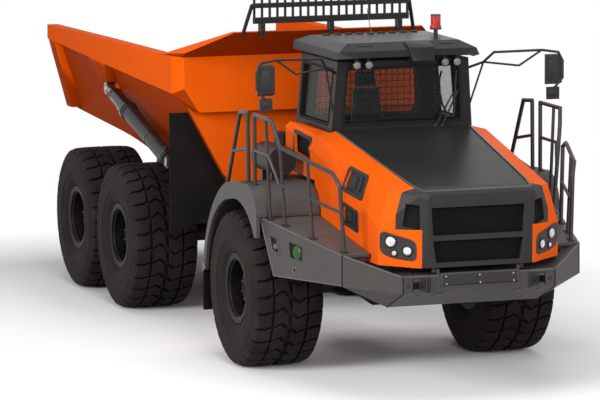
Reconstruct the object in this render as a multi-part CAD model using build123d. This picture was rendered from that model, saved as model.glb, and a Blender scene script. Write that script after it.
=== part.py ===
from build123d import *

import math
import os

import numpy as np
from scipy.spatial import ConvexHull, HalfspaceIntersection

# Articulated dump truck, six wheels, parked straight with its bin down.
# +X forward, +Y the machine's left, +Z up. The origin is on the ground under the middle of the
# machine's length and width. Millimetres.

# --- driving dimensions -------------------------------------------------------------------------
FRONT_AXLE_X = 2300
WHEELBASE = 4181  # front axle to middle axle
BOGIE_SPREAD = 1670  # middle axle to rear axle
FRONT_OVERHANG = 2780  # front axle to the bumper's face
REAR_OVERHANG = 1529  # rear axle to the bin's tail
ARTIC_OFFSET = 1362  # the steering pivot, behind the front axle
MID_AXLE_X = FRONT_AXLE_X - WHEELBASE
REAR_AXLE_X = MID_AXLE_X - BOGIE_SPREAD
ARTIC_X = FRONT_AXLE_X - ARTIC_OFFSET
TAIL_X = REAR_AXLE_X - REAR_OVERHANG

TYRE_R = 806
TYRE_W = 756
TRACK = 2524  # between the wheels' centre planes
WHEEL_Y = TRACK / 2
RIM_SEAT_R = 324.7  # rim barrel, under the tyre's bead
RIM_HALF_W = 300  # between the rim's flanges, half
RIM_WALL = 24.7
RIM_FLANGE_R = 365
RIM_FLANGE_T = 20
BEAD_GAP = 0.3
HUB_R = 200
HUB_NOSE_R = 150
HUB_BORE_R = 120
HUB_BORE_A = (-140, -20)  # the bore's mouth and end, measured outboard from the wheel's centre plane
SHAFT_GAP = 0.5  # radial clearance of shafts and pins
END_GAP = 6  # clearance between the faces of moving pieces

FRONT_RAIL_Y = (380, 460)
FRONT_RAIL_Z = (950, 1200)
REAR_RAIL_Y = (360, 440)
REAR_RAIL_Z = (950, 1250)
DRIVE_Z = 1010  # height of the centre of the steering and roll pivots
ARTIC_PIN_R = 60
ROLL_TUBE_R = 230
ROLL_RING = (-638, -378)  # the roll ring's rear and front face, from the steering pivot

CAB_HALF_W = 760
CAB_WALL = 60
CAB_FLOOR_Z = 1800
CAB_SILL_Z = 2450
CAB_TOP_Z = 3150
PANE_T = 8
PANE_GAP = 0.5
DOOR_X = (FRONT_AXLE_X - 350, FRONT_AXLE_X + 350)
DOOR_Z = (1930, 3100)
DOOR_GAP = 6
DOOR_FRONT_GAP = 18  # room for the leaf's inner front corner to swing clear
DOOR_PIN = (DOOR_X[0], CAB_HALF_W + 20)  # X and Y of the door's hinge
DOOR_PIN_R = 8
DOOR_HINGE_Z = (2010, 2400)

HOOD_WALL = 30
HOOD_REAR_X = FRONT_AXLE_X + 630
GRILLE_WALL = 45
SEAM = 0.5  # gap between the hood's panels
HOOD_PIN = (FRONT_AXLE_X + 2700, 1290)  # X and Z of the hood's hinge
HOOD_PIN_R = 12

BIN_WALL = 42
BIN_FLOOR_T = 50
BIN_FRONT_X = ARTIC_X - 1138
BIN_PIVOT_X = REAR_AXLE_X - 449
BIN_PIVOT_Z = 1550
BIN_PIN_R = 50
BIN_HALF_W = 1490
TIP_ANGLE = 70

HOIST_Y = 1360
HOIST_FOOT = (ARTIC_X - 1588, 1769)  # X and Z of the barrel's lower pin
HOIST_EYE = (BIN_PIVOT_X + 1050, 2349)  # X and Z of the rod's eye with the bin down
HOIST_PIN_R = 40
HOIST_BARREL_R = 90
HOIST_STAGE_R = 70
HOIST_ROD_R = 45

STEER_Z = DRIVE_Z
STEER_FOOT = (ARTIC_X + 872, 300)  # X and |Y| of the barrel's pin on the front frame
STEER_EYE = (ARTIC_X - 100, 330)  # X and |Y| of the rod's eye, steered straight
STEER_PIN_R = 22
STEER_BARREL_R = 45
STEER_ROD_R = 26

RAIL_R = 21  # handrail tube
MID_RAIL_R = 17
BEND_SWELL = 0.6  # a bend's ball is this much larger than its tube


# --- shapes -------------------------------------------------------------------------------------
def block(x, y, z):
    """A box between two values on each axis."""
    centre = Pos((x[0] + x[1]) / 2, (y[0] + y[1]) / 2, (z[0] + z[1]) / 2)
    return centre * Box(abs(x[1] - x[0]), abs(y[1] - y[0]), abs(z[1] - z[0]))


def rod(start, end, radius):
    """A round bar between two points."""
    axis = Vector(*end) - Vector(*start)
    plane = Plane(origin=Vector(*start), z_dir=axis)
    return plane * Cylinder(radius, axis.length, align=(Align.CENTER, Align.CENTER, Align.MIN))


def prism(points, direction):
    """A flat outline pushed along a direction."""
    face = Face(Wire.make_polygon([Vector(*p) for p in points], close=True))
    return Solid.extrude(face, Vector(*direction))


def plate_y(outline, y):
    """A plate with an X-Z outline between two values of y."""
    return prism([(px, y[0], pz) for px, pz in outline], (0, y[1] - y[0], 0))


def plate_x(outline, x):
    """A plate with a Y-Z outline between two values of x."""
    return prism([(x[0], py, pz) for py, pz in outline], (x[1] - x[0], 0, 0))


def plate_z(outline, z):
    """A plate with an X-Y outline between two values of z."""
    return prism([(px, py, z[0]) for px, py in outline], (0, 0, z[1] - z[0]))


def join(*pieces):
    return Part() + list(pieces)


def cut(body, *tools):
    return body - list(tools)


def mirrored(shape):
    """The same piece on the machine's other side."""
    return mirror(shape, about=Plane.XZ)


def both_sides(points):
    """The points and their mirror images."""
    return [(x, s * y, z) for x, y, z in points for s in (1, -1)]


def hull_planes(points):
    """The planes of the points' convex hull, each once."""
    found = []
    for row in ConvexHull(points).equations:
        if not any(abs(row[:3] - other[:3]).max() < 1e-4 and abs(row[3] - other[3]) < 0.5 for other in found):
            found.append(row)
    return np.array(found)


def faceted(points, inset=0.0, open_sides=(), reach=400.0):
    """The convex solid through the points, or the space inside it when its faces move in by inset.

    Faces that look along one of open_sides move out by reach instead, which opens that side.
    """
    points = np.array(points, float)
    planes = hull_planes(points)
    if inset:
        for row in planes:
            is_open = any(np.dot(row[:3], side) > 0.8 for side in open_sides)
            row[3] -= reach if is_open else -inset
        centre = points.mean(axis=0)
        points = HalfspaceIntersection(planes, centre).intersections
        points = np.unique(np.round(points, 4), axis=0)
    return hull_solid(points)


def hull_solid(points):
    """The convex solid through the points, with flat faces joined where they share a plane."""
    hull = ConvexHull(points)
    middle = points.mean(axis=0)
    triangles = []
    for corners, row in zip(hull.simplices, hull.equations):
        a, b, c = points[corners]
        if np.dot(np.cross(b - a, c - a), row[:3]) < 0:
            b, c = c, b
        triangles.append(Face(Wire.make_polygon([Vector(*a), Vector(*b), Vector(*c)], close=True)))
    return Solid(Shell(triangles)).clean()


def tube_run(points, radius):
    """A tube through the points, with a ball at each bend."""
    pieces = [rod(a, b, radius) for a, b in zip(points, points[1:])]
    pieces += [Pos(*p) * Sphere(radius + BEND_SWELL) for p in points[1:-1]]
    return join(*pieces)


def save(name, *shapes):
    """Writes one node, with each of its solids apart."""
    solids = [s for shape in shapes for s in shape.solids()]
    export_step(Compound(solids), f"parts/{name}.step")


def front(offset):
    """X of a place given from the front axle."""
    return FRONT_AXLE_X + offset


def side_points(table):
    """Points from rows of offset from the front axle, |y| and z, on both sides."""
    return both_sides([(front(a), y, z) for a, y, z in table])


def arc(start, middle, end):
    """An arc in a side view, through points given from the front axle and the ground."""
    return ThreePointArc(*[Vector(front(a), 0, z) for a, z in (start, middle, end)])


def line(start, end):
    """A straight edge in the same side view as arc."""
    return Line(*[Vector(front(a), 0, z) for a, z in (start, end)])


def side_plate(edges, y):
    """A plate with an outline of edges in a side view, between two values of y."""
    face = Face(Wire(edges))
    return Pos(0, y[0], 0) * Solid.extrude(face, Vector(0, y[1] - y[0], 0))


# --- wheels -------------------------------------------------------------------------------------
WHEEL_PLACES = [("front", FRONT_AXLE_X), ("middle", MID_AXLE_X), ("rear", REAR_AXLE_X)]
SIDES = [("left", 1), ("right", -1)]


def tyre():
    """Tyre carcass about X, open at its bead: columns are distance outboard and radius."""
    half_w = TYRE_W / 2
    bead_r = RIM_SEAT_R + BEAD_GAP
    belly_r = (bead_r + TYRE_R) / 2
    crown, wall = 75, 48
    toe_r = RIM_FLANGE_R + 4
    a_bead, a_shoulder, r_shoulder = RIM_HALF_W - BEAD_GAP, half_w - 30, TYRE_R - 45
    outer = [
        Line((a_bead, bead_r), (a_bead, toe_r)),
        ThreePointArc((a_bead, toe_r), (half_w, belly_r), (a_shoulder, r_shoulder)),
        Line((a_shoulder, r_shoulder), (a_shoulder - 35, TYRE_R - 8)),
        ThreePointArc((a_shoulder - 35, TYRE_R - 8), (0, TYRE_R), (35 - a_shoulder, TYRE_R - 8)),
        Line((35 - a_shoulder, TYRE_R - 8), (-a_shoulder, r_shoulder)),
        ThreePointArc((-a_shoulder, r_shoulder), (-half_w, belly_r), (-a_bead, toe_r)),
        Line((-a_bead, toe_r), (-a_bead, bead_r)),
    ]
    b_bead, b_shoulder = a_bead - wall, a_shoulder - wall
    r_inner = TYRE_R - crown
    inner = [
        Line((-a_bead, bead_r), (-b_bead, bead_r)),
        ThreePointArc((-b_bead, bead_r), (wall - half_w, belly_r), (-b_shoulder, r_inner - 20)),
        ThreePointArc((-b_shoulder, r_inner - 20), (0, r_inner), (b_shoulder, r_inner - 20)),
        ThreePointArc((b_shoulder, r_inner - 20), (half_w - wall, belly_r), (b_bead, bead_r)),
        Line((b_bead, bead_r), (a_bead, bead_r)),
    ]
    return revolve(Face(Wire(outer + inner)), Axis.X, 360)


def rim():
    """Rim barrel, flanges, disc and hub about X: columns are distance outboard and radius."""
    barrel_r = RIM_SEAT_R - RIM_WALL
    w, lip = RIM_HALF_W, RIM_HALF_W + RIM_FLANGE_T
    mouth, end = HUB_BORE_A
    disc = (-60, -30)
    nose = (170, 215)
    section = [
        (end, 0), (end, HUB_BORE_R), (mouth, HUB_BORE_R), (mouth, HUB_R - 30), (disc[0], HUB_R - 30),
        (disc[0], barrel_r), (-lip, barrel_r), (-lip, RIM_FLANGE_R), (-w, RIM_FLANGE_R), (-w, RIM_SEAT_R),
        (w, RIM_SEAT_R), (w, RIM_FLANGE_R), (lip, RIM_FLANGE_R), (lip, barrel_r), (disc[1], barrel_r),
        (disc[1], HUB_R), (nose[0], HUB_R), (nose[0], HUB_NOSE_R), (nose[1], HUB_NOSE_R), (nose[1], 0),
    ]
    return revolve(Face(Wire.make_polygon([Vector(a, r) for a, r in section], close=True)), Axis.X, 360)


def wheels():
    tyre_shape, rim_shape = tyre(), rim()
    for place, x in WHEEL_PLACES:
        for side, s in SIDES:
            stand = Pos(x, s * WHEEL_Y, TYRE_R) * Rot(0, 0, 90 * s)
            save(f"tyre_{place}_{side}", stand * tyre_shape)
            save(f"rim_{place}_{side}", stand * rim_shape)


# --- axles --------------------------------------------------------------------------------------
AXLE_TUBE_R = 100
DIFF_R = 255
BRAKE_R = 210


def axle(x):
    """Axle with its differential and the two shafts that the hubs turn on."""
    shaft_r = HUB_BORE_R - SHAFT_GAP
    shaft_end = WHEEL_Y + HUB_BORE_A[1] - END_GAP
    brake = (WHEEL_Y + HUB_BORE_A[0] - 200, WHEEL_Y + HUB_BORE_A[0] - 32)
    half = [
        (0, 0), (0, DIFF_R), (110, DIFF_R), (260, 150), (320, AXLE_TUBE_R), (brake[0] - 60, AXLE_TUBE_R),
        (brake[0], BRAKE_R), (brake[1], BRAKE_R), (brake[1], shaft_r), (shaft_end, shaft_r), (shaft_end, 0),
    ]
    face = Face(Wire.make_polygon([Vector(r, a, 0) for a, r in half], close=True))
    side = revolve(face, Axis.Y, 360)
    return Pos(x, 0, TYRE_R) * join(side, mirrored(side))


# --- front frame --------------------------------------------------------------------------------
PIVOT_R = 140  # round end of the yoke plates
YOKE_Z = [(800, 840), (1200, 1240)]  # lower and upper yoke plate
YOKE_X = (ARTIC_X + 312, ARTIC_X + 982)
RAIL_END_X = front(2297)
CAB_BEAM_Z = (1740, 1800)
CAB_POST_X = [front(-420), front(520)]
CAB_BEAM_Y = 830


def yoke_plate(z):
    """Plate that tapers from the rails back to a round end at the steering pin."""
    x0, x1 = YOKE_X
    outline = [(x1, -FRONT_RAIL_Y[0]), (x1, FRONT_RAIL_Y[0]), (x0, FRONT_RAIL_Y[0]), (ARTIC_X, PIVOT_R),
               (ARTIC_X, -PIVOT_R), (x0, -FRONT_RAIL_Y[0])]
    return join(plate_z(outline, z), rod((ARTIC_X, 0, z[0]), (ARTIC_X, 0, z[1]), PIVOT_R))


def front_frame():
    rail = join(
        block((YOKE_X[0], RAIL_END_X), FRONT_RAIL_Y, FRONT_RAIL_Z),
        block(YOKE_X, FRONT_RAIL_Y, (YOKE_Z[0][0], YOKE_Z[1][1])),
    )
    members = [yoke_plate(z) for z in YOKE_Z]
    members.append(rod((ARTIC_X, 0, YOKE_Z[0][0] - 20), (ARTIC_X, 0, YOKE_Z[1][1] + 20), ARTIC_PIN_R))
    inner = (-FRONT_RAIL_Y[0], FRONT_RAIL_Y[0])
    members.append(block((YOKE_X[1] - 60, YOKE_X[1]), inner, (YOKE_Z[0][0], YOKE_Z[1][1])))
    for x in (front(850), front(1850)):
        members.append(block((x, x + 100), inner, (FRONT_RAIL_Z[0], ENGINE_Z[0])))
    members.append(block((RAIL_END_X - 40, RAIL_END_X), inner, FRONT_RAIL_Z))
    for x in CAB_POST_X:
        members.append(block((x - 40, x + 40), (-CAB_BEAM_Y, CAB_BEAM_Y), CAB_BEAM_Z))
        for s in (1, -1):
            members.append(block((x - 40, x + 40), (s * 400, s * 460), (FRONT_RAIL_Z[1], CAB_BEAM_Z[0])))
    for s in (1, -1):
        members += steer_foot(s)
    # the steering cylinders swing a little past the rails' inner faces
    relief = block((YOKE_X[0] - 10, YOKE_X[0] + 200), (FRONT_RAIL_Y[0] - 10, FRONT_RAIL_Y[0] + 20),
                   (STEER_Z - 70, STEER_Z + 70))
    rail = cut(rail, relief)
    save("front_frame", join(rail, mirrored(rail), *members))


def steer_foot(s):
    """Ears and pin that hold a steering cylinder's barrel to the front frame."""
    x, y = STEER_FOOT
    eye = STEER_BARREL_R
    ears = [block((x - 50, YOKE_X[1] - 60), (s * (y - 50), s * (y + 50)), z)
            for z in ((STEER_Z - 50, STEER_Z - 30), (STEER_Z + 30, STEER_Z + 50))]
    return ears + [rod((x, s * y, STEER_Z - 50), (x, s * y, STEER_Z + 50), STEER_PIN_R)]


def front_axle():
    """Axle with the triangular arm that ties it to the frame ahead of it."""
    arm_z = (TYRE_R - 80, TYRE_R - 20)
    arm = plate_z([(front(90), -560), (front(90), 560), (front(560), 90), (front(560), -90)], arm_z)
    save("front_axle", join(axle(FRONT_AXLE_X), arm))


STRUT_Y = 560
STRUT_R = 65


def front_suspension():
    """Two struts between the axle and brackets on the frame's rails."""
    pieces = []
    for s in (1, -1):
        y = s * STRUT_Y
        top_z = FRONT_RAIL_Z[1] + 180
        strut = join(
            rod((FRONT_AXLE_X, y, TYRE_R + AXLE_TUBE_R), (FRONT_AXLE_X, y, top_z - 220), STRUT_R - 20),
            rod((FRONT_AXLE_X, y, top_z - 320), (FRONT_AXLE_X, y, top_z), STRUT_R),
            block((FRONT_AXLE_X - 70, FRONT_AXLE_X + 70), (s * FRONT_RAIL_Y[1], s * (STRUT_Y + 60)),
                  (top_z - 120, top_z - 70)),
            block((FRONT_AXLE_X - 70, FRONT_AXLE_X + 70), (s * FRONT_RAIL_Y[1], s * (FRONT_RAIL_Y[1] + 25)),
                  (FRONT_RAIL_Z[0] + 40, top_z - 70)),
        )
        pieces.append(strut)
    save("front_suspension", *pieces)


ENGINE_X = (front(850), front(1990))
ENGINE_HALF_W = 365
ENGINE_Z = (1000, 1930)
RADIATOR_X = (front(2090), front(2230))
RADIATOR_HALF_W = 470
RADIATOR_Z = (FRONT_RAIL_Z[1], 1930)


def engine():
    save("engine", block(ENGINE_X, (-ENGINE_HALF_W, ENGINE_HALF_W), ENGINE_Z))
    save("radiator", block(RADIATOR_X, (-RADIATOR_HALF_W, RADIATOR_HALF_W), RADIATOR_Z))


# --- bumper, decks and fenders ------------------------------------------------------------------
BUMPER_WALL = 40
BUMPER_FACE = FRONT_OVERHANG - 25
STEP_HALF_W = 400
TOW_Y = 625
TOW_Z = 1168
TOW_PIN_R = 22
TOW_SLOT_Z = (1105, 1235)


def hood_ear(s):
    """Ear on the bumper and the pin that the hood turns on."""
    x, z = HOOD_PIN
    y0, y1 = s * (FRONT_RAIL_Y[0] + 25), s * (FRONT_RAIL_Y[0] + 52)
    return [block((x - 26, x + 24), (y0, y1), (1240, z + 22)),
            rod((x, y0, z), (x, s * (FRONT_RAIL_Y[1] + 14), z), HOOD_PIN_R)]


def front_bumper():
    """Bumper of folded plate, open behind: a middle part, two wings, two ribs and the front step."""
    corner_y, face = 792, BUMPER_FACE
    # offset from the front axle, |y|, z
    middle = side_points([(face, corner_y, 1258), (face, corner_y, 1089), (2297, corner_y, 898),
                          (2297, corner_y, 1258)])
    wing = [(front(a), y, z) for a, y, z in [
        (face, corner_y, 1258), (face, corner_y, 1089), (2297, corner_y, 898), (2297, corner_y, 1258),
        (2276, 1246, 1434), (2276, 1248, 1123), (2276, 975, 1330)]]
    back = [(-1, 0, 0)]
    shell = cut(faceted(middle), faceted(middle, BUMPER_WALL, back))
    wing_shell = cut(faceted(wing), faceted(wing, BUMPER_WALL, back, reach=60))
    rib_x = front(face) - 20
    rib_outline = [(rib_x, 1070), (rib_x, 1240), (RAIL_END_X, 1240), (RAIL_END_X, 920)]
    ribs = [plate_y(rib_outline, (s * FRONT_RAIL_Y[0], s * FRONT_RAIL_Y[1])) for s in (1, -1)]
    step = plate_y([(front(face) - 30, 1275), (front(face), 1275), (front(FRONT_OVERHANG), 1165),
                    (front(face), 1150), (front(face) - 30, 1150)], (-STEP_HALF_W, STEP_HALF_W))
    body = join(shell, wing_shell, mirrored(wing_shell), *ribs, step, *hood_ear(1), *hood_ear(-1))
    for s in (1, -1):
        slot = block((front(face) - 110, front(face) + 10), (s * (TOW_Y - 70), s * (TOW_Y + 70)), TOW_SLOT_Z)
        lugs = [block((front(face) - 125, front(face) - 5), (s * (TOW_Y - 60), s * (TOW_Y + 60)), z)
                for z in ((TOW_SLOT_Z[0] - 10, TOW_SLOT_Z[0] + 25), (TOW_SLOT_Z[1] - 35, TOW_SLOT_Z[1] - 5))]
        hole = rod((front(face) - 60, s * TOW_Y, 800), (front(face) - 60, s * TOW_Y, 1400), TOW_PIN_R)
        body = cut(join(cut(body, slot), *lugs), hole)
    save("front_bumper", body)


DECK_INNER_Y = 965
DECK_T = 30
DECK_PANEL_T = 40
# offset from the front axle, |y| of the side panel, top z, bottom z
DECK_REAR = (770, 1580, 1635, 1066)
DECK_FRONT = (2274, 1246, 1434, 1123)


def deck_y(offset):
    """|y| of the side panel's outer face, which tapers to the front."""
    share = (offset - DECK_REAR[0]) / (DECK_FRONT[0] - DECK_REAR[0])
    return DECK_REAR[1] + share * (DECK_FRONT[1] - DECK_REAR[1])


def deck_top(offset):
    share = (offset - DECK_REAR[0]) / (DECK_FRONT[0] - DECK_REAR[0])
    return DECK_REAR[2] + share * (DECK_FRONT[2] - DECK_REAR[2])


def side_deck(s):
    """Walkway beside the hood: a tapering side panel, the tread plate and its bearers on the rail."""
    lower_rear = DECK_REAR[0] + 250
    panel_outline = [(DECK_REAR[0], DECK_REAR[2]), (lower_rear, DECK_REAR[3]),
                     (DECK_FRONT[0], DECK_FRONT[3]), (DECK_FRONT[0], DECK_FRONT[2])]
    panel = prism([(front(a), s * deck_y(a), z) for a, z in panel_outline], (0, -s * DECK_PANEL_T, 0))
    a0, a1 = DECK_REAR[0], DECK_FRONT[0]
    top = prism([(front(a0), s * deck_y(a0), deck_top(a0)), (front(a1), s * deck_y(a1), deck_top(a1)),
                 (front(a1), s * DECK_INNER_Y, deck_top(a1)), (front(a0), s * DECK_INNER_Y, deck_top(a0))],
                (0, 0, -DECK_T))
    bearers = []
    for a in (900, 1500, 2150):
        top_z = deck_top(a + 50) - DECK_T / 2
        outer_y = deck_y(a + 50) - DECK_PANEL_T / 2
        outline = [(FRONT_RAIL_Y[1], 1110), (FRONT_RAIL_Y[1], FRONT_RAIL_Z[1] - 5), (DECK_INNER_Y, 1250),
                   (DECK_INNER_Y + 20, top_z), (outer_y, top_z), (outer_y, top_z - 60),
                   (DECK_INNER_Y + 70, top_z - 70), (DECK_INNER_Y + 50, 1190)]
        bearers.append(plate_x([(s * y, z) for y, z in outline], (front(a), front(a + 40))))
    return join(panel, top, *bearers)


STEP_OFFSETS = (1100, 1540)  # rear and front end of the recessed steps, from the front axle
STEP_LOW_Z = 1000
STEP_RISE = 250
STEP_DEPTH = 220
STEP_PLATE = 20  # stringer plate


def steps(s):
    """Recessed steps under the left deck: two treads between stringers."""
    x0, x1 = (front(a) for a in STEP_OFFSETS)
    outer = deck_y(STEP_OFFSETS[1]) - DECK_PANEL_T - 5
    y = (s * (outer - STEP_DEPTH), s * outer)
    stringers = [block((x, x + STEP_PLATE), y, (STEP_LOW_Z, deck_top(STEP_OFFSETS[1]) - DECK_T / 2))
                 for x in (x0, x1 - STEP_PLATE)]
    treads = [block((x0, x1), y, (z, z + DECK_T)) for z in (STEP_LOW_Z, STEP_LOW_Z + STEP_RISE)]
    return join(*stringers, *treads)


def step_doorway(s):
    """The opening in the left deck's side panel in front of the steps."""
    x0, x1 = (front(a) for a in STEP_OFFSETS)
    y = (s * (deck_y(STEP_OFFSETS[1]) - DECK_PANEL_T - 2), s * DECK_REAR[1])
    return block((x0 + STEP_PLATE, x1 - STEP_PLATE), y,
                 (STEP_LOW_Z - 10, deck_top(STEP_OFFSETS[1]) - 2 * DECK_T))


PLATFORM_Z = 1895  # the ledge between the cab and the fender


def fender(s):
    """Curved fender over a front wheel: its cheek, skin, the ledge beside the cab and its brackets."""
    outer = [arc((-940, 880), (-700, 1480), (-140, 1885)), line((-140, 1885), (188, 1934)),
             line((188, 1934), (446, 1934)), arc((446, 1934), (720, 1855), (822, 1665)),
             line((822, 1665), (818, 1430))]
    inner = [line((818, 1430), (750, 1430)), arc((750, 1430), (500, 1660), (0, 1730)),
             arc((0, 1730), (-620, 1430), (-870, 880)), line((-870, 880), (-940, 880))]
    cheek = side_plate(outer + inner, (s * 1600, s * 1640))
    t = 25
    under = [line((818, 1430), (818 - t, 1430)), line((818 - t, 1430), (822 - t, 1665)),
             arc((822 - t, 1665), (720 - 18, 1855 - 18), (446, 1934 - t)),
             line((446, 1934 - t), (188, 1934 - t)), line((188, 1934 - t), (-138, 1885 - t)),
             arc((-138, 1885 - t), (-682, 1468), (-915, 880)), line((-915, 880), (-940, 880))]
    skin = side_plate(outer + under, (s * DECK_INNER_Y, s * 1600))
    deck_corner = block((front(DECK_REAR[0]) - 2, front(900)), (s * 900, s * 1600), (1400, DECK_REAR[2] + 2))
    skin = cut(skin, deck_corner)
    platform = block((CAB_POST_X[0] - 40, front(600)), (s * (CAB_HALF_W + 30), s * (DECK_INNER_Y + 5)),
                     (PLATFORM_Z - t, PLATFORM_Z))
    brackets = [block((x - 35, x + 35), (s * CAB_BEAM_Y, s * (CAB_BEAM_Y + 40)),
                      (CAB_BEAM_Z[0], PLATFORM_Z - t / 2)) for x in CAB_POST_X]
    return join(cheek, skin, platform, *brackets)


def bodywork():
    front_bumper()
    save("side_deck_right", side_deck(-1))
    save("side_deck_left", join(cut(side_deck(1), step_doorway(1)), steps(1)))
    save("front_fenders", fender(1), fender(-1))
    flaps = [block((front(-940), front(-925)), (s * 1200, s * 1640), (450, 880)) for s in (1, -1)]
    save("front_mudflaps", *flaps)


# --- handrails ----------------------------------------------------------------------------------
FENDER_TOP_Z = 1934
RAIL_Y = 1550


def deck_foot(a, y):
    """A handrail's foot on the walkway."""
    return (front(a), y, deck_top(a))


def handrails(s):
    """Bent tube rails on the fender and the walkway: each run starts and ends at a foot or a joint."""
    high, knee = 2640, 2280
    y = RAIL_Y
    brace = tube_run([(front(-420), y, 1730), (front(60), y, high - 20), (front(300), y, high),
                      (front(315), y, FENDER_TOP_Z - 10)], RAIL_R)
    cross = tube_run([(front(-160), y, 2200), (front(310), y, knee)], MID_RAIL_R)
    hoop = [(front(520), y, 1910), (front(520), y, high), (front(1050), y, high - 5),
            (front(1130), 1490, 2370)]
    mid = [(front(520), y, knee), (front(950), y, knee - 5), (front(1110), 1490, 2000)]
    slope = [(front(2080), 1275, 2215), (front(2160), 1225, 2090), deck_foot(2190, 1195)]
    slope_mid = (front(2170), 1215, 1830)
    posts = [tube_run([(front(880), y, high - 10), deck_foot(880, y - 40)], MID_RAIL_R)]
    if s < 0:
        run = tube_run(hoop + slope, RAIL_R)
        middle = tube_run(mid + [slope_mid], MID_RAIL_R)
        posts.append(tube_run([(front(1130), 1490, 2370), deck_foot(1140, 1440)], MID_RAIL_R))
        posts.append(tube_run([(front(1640), 1378, 2288), deck_foot(1650, 1330)], MID_RAIL_R))
    else:
        run = tube_run(hoop[:3] + [(front(1120), 1520, 2480), deck_foot(1150, 1440)], RAIL_R)
        middle = tube_run(mid[:2] + [(front(1135), 1480, 2010)], MID_RAIL_R)
        gate = tube_run([deck_foot(1560, 1350), (front(1520), 1385, 2300), (front(1600), 1385, 2345),
                         (front(1700), 1360, 2330)] + slope, RAIL_R)
        gate_mid = tube_run([(front(1545), 1362, 1950), slope_mid], MID_RAIL_R)
        posts += [gate, gate_mid, tube_run([(front(1900), 1315, 2270), deck_foot(1900, 1280)], MID_RAIL_R)]
    shapes = [join(brace, cross), join(run, middle, *posts)]
    shapes = shapes if s > 0 else [mirrored(shape) for shape in shapes]
    seats = [fender(s), side_deck(s)] + ([steps(s)] if s > 0 else [])
    save(f"handrails_{'left' if s > 0 else 'right'}", *[cut(shape, *seats) for shape in shapes])


# --- cab ----------------------------------------------------------------------------------------
# columns are offset of the rear face and of the front face from the front axle, half width, z
CAB_SECTIONS = [
    (-465, 560, CAB_HALF_W - 5, CAB_FLOOR_Z),
    (-485, 605, CAB_HALF_W, CAB_SILL_Z),
    (-450, 650, CAB_HALF_W - 55, CAB_TOP_Z),
]
CAB_POINTS = both_sides([(front(a), half, z) for rear, nose, half, z in CAB_SECTIONS for a in (rear, nose)])
OPEN_TOP = [(0, 0, 1)]
WINDOW_Z = (2500, 3070)
# the side window behind the windscreen post, on the right: X and Z corners
SIDE_WINDOW = [(front(-390), WINDOW_Z[0]), (front(490), WINDOW_Z[0]), (front(530), WINDOW_Z[1]),
               (front(-370), WINDOW_Z[1])]
QUARTER_WINDOW = [(front(400), WINDOW_Z[0]), (front(500), WINDOW_Z[0]), (front(535), WINDOW_Z[1]),
                  (front(400), WINDOW_Z[1])]
DOOR_WINDOW = [(DOOR_X[0] + 80, WINDOW_Z[0]), (DOOR_X[1] - 80, WINDOW_Z[0]), (DOOR_X[1] - 80, 3030),
               (DOOR_X[0] + 80, 3030)]
WINDSCREEN = [(640, 2500), (600, 3090), (-600, 3090), (-640, 2500)]
REAR_WINDOW = [(560, 2480), (540, 3040), (-540, 3040), (-560, 2480)]


def grown(outline, gap):
    """The outline moved outwards from its middle by about gap."""
    middle = [sum(p[i] for p in outline) / len(outline) for i in (0, 1)]
    return [tuple(v + gap * math.copysign(1, v - m) for v, m in zip(p, middle)) for p in outline]


def window_tools(gap=0.0):
    """Cutters for the windscreen, rear, right and left quarter windows."""
    outer = CAB_HALF_W + 20
    return [
        plate_x(grown(WINDSCREEN, gap), (front(500), front(700))),
        plate_x(grown(REAR_WINDOW, gap), (front(-520), front(-400))),
        plate_y(grown(SIDE_WINDOW, gap), (-outer, -600)),
        plate_y(grown(QUARTER_WINDOW, gap), (600, outer)),
    ]


def door_block(gap):
    return block((DOOR_X[0] + gap, DOOR_X[1] - DOOR_FRONT_GAP), (500, CAB_HALF_W + 20),
                 (DOOR_Z[0] + gap, DOOR_Z[1] - gap))


def door_bracket(z):
    """Pin between two ears on the cab's wall, for the door to turn on."""
    x, y = DOOR_PIN
    plate = block((x - 30, x - 8), (CAB_HALF_W - 20, CAB_HALF_W + 2), (z - 52, z + 52))
    ears = [block((x - 30, x + DOOR_PIN_R + 1), (CAB_HALF_W + 2, y + 16), (z + s * 28, z + s * 52))
            for s in (1, -1)]
    return join(plate, *ears, rod((x, y, z - 52), (x, y, z + 52), DOOR_PIN_R))


def door_knuckle(z):
    """Eye round the hinge pin and the lug that ties it to the door."""
    x, y = DOOR_PIN
    eye = rod((x, y, z - 24), (x, y, z + 24), DOOR_PIN_R + 8)
    lug = block((x + 10, x + 45), (CAB_HALF_W - 6, y + 8), (z - 24, z + 24))
    return cut(join(eye, lug), rod((x, y, z - 30), (x, y, z + 30), DOOR_PIN_R + SHAFT_GAP))


def pane_shell():
    """A layer as thick as the glass in the middle of the cab's wall."""
    depth = CAB_WALL / 2
    return cut(faceted(CAB_POINTS, depth - PANE_T / 2, OPEN_TOP),
               faceted(CAB_POINTS, depth + PANE_T / 2, OPEN_TOP))


def cab():
    wall = cut(faceted(CAB_POINTS), faceted(CAB_POINTS, CAB_WALL, OPEN_TOP))
    side = block((front(-600), front(800)), (600, 900), (CAB_FLOOR_Z, CAB_TOP_Z))
    doorway = block(DOOR_X, (500, CAB_HALF_W + 20), DOOR_Z)
    save("cab_body", join(cut(wall, *window_tools(), doorway), *[door_bracket(z) for z in DOOR_HINGE_Z]))
    leaf = (wall & side) & door_block(DOOR_GAP)
    window = plate_y(DOOR_WINDOW, (500, CAB_HALF_W + 20))
    save("cab_door", join(cut(leaf, window), *[door_knuckle(z) for z in DOOR_HINGE_Z]))
    glass = pane_shell()
    save("cab_glass", *[glass & tool for tool in window_tools(-PANE_GAP)])
    save("door_glass", glass & plate_y(grown(DOOR_WINDOW, -PANE_GAP), (500, CAB_HALF_W + 20)))


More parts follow.
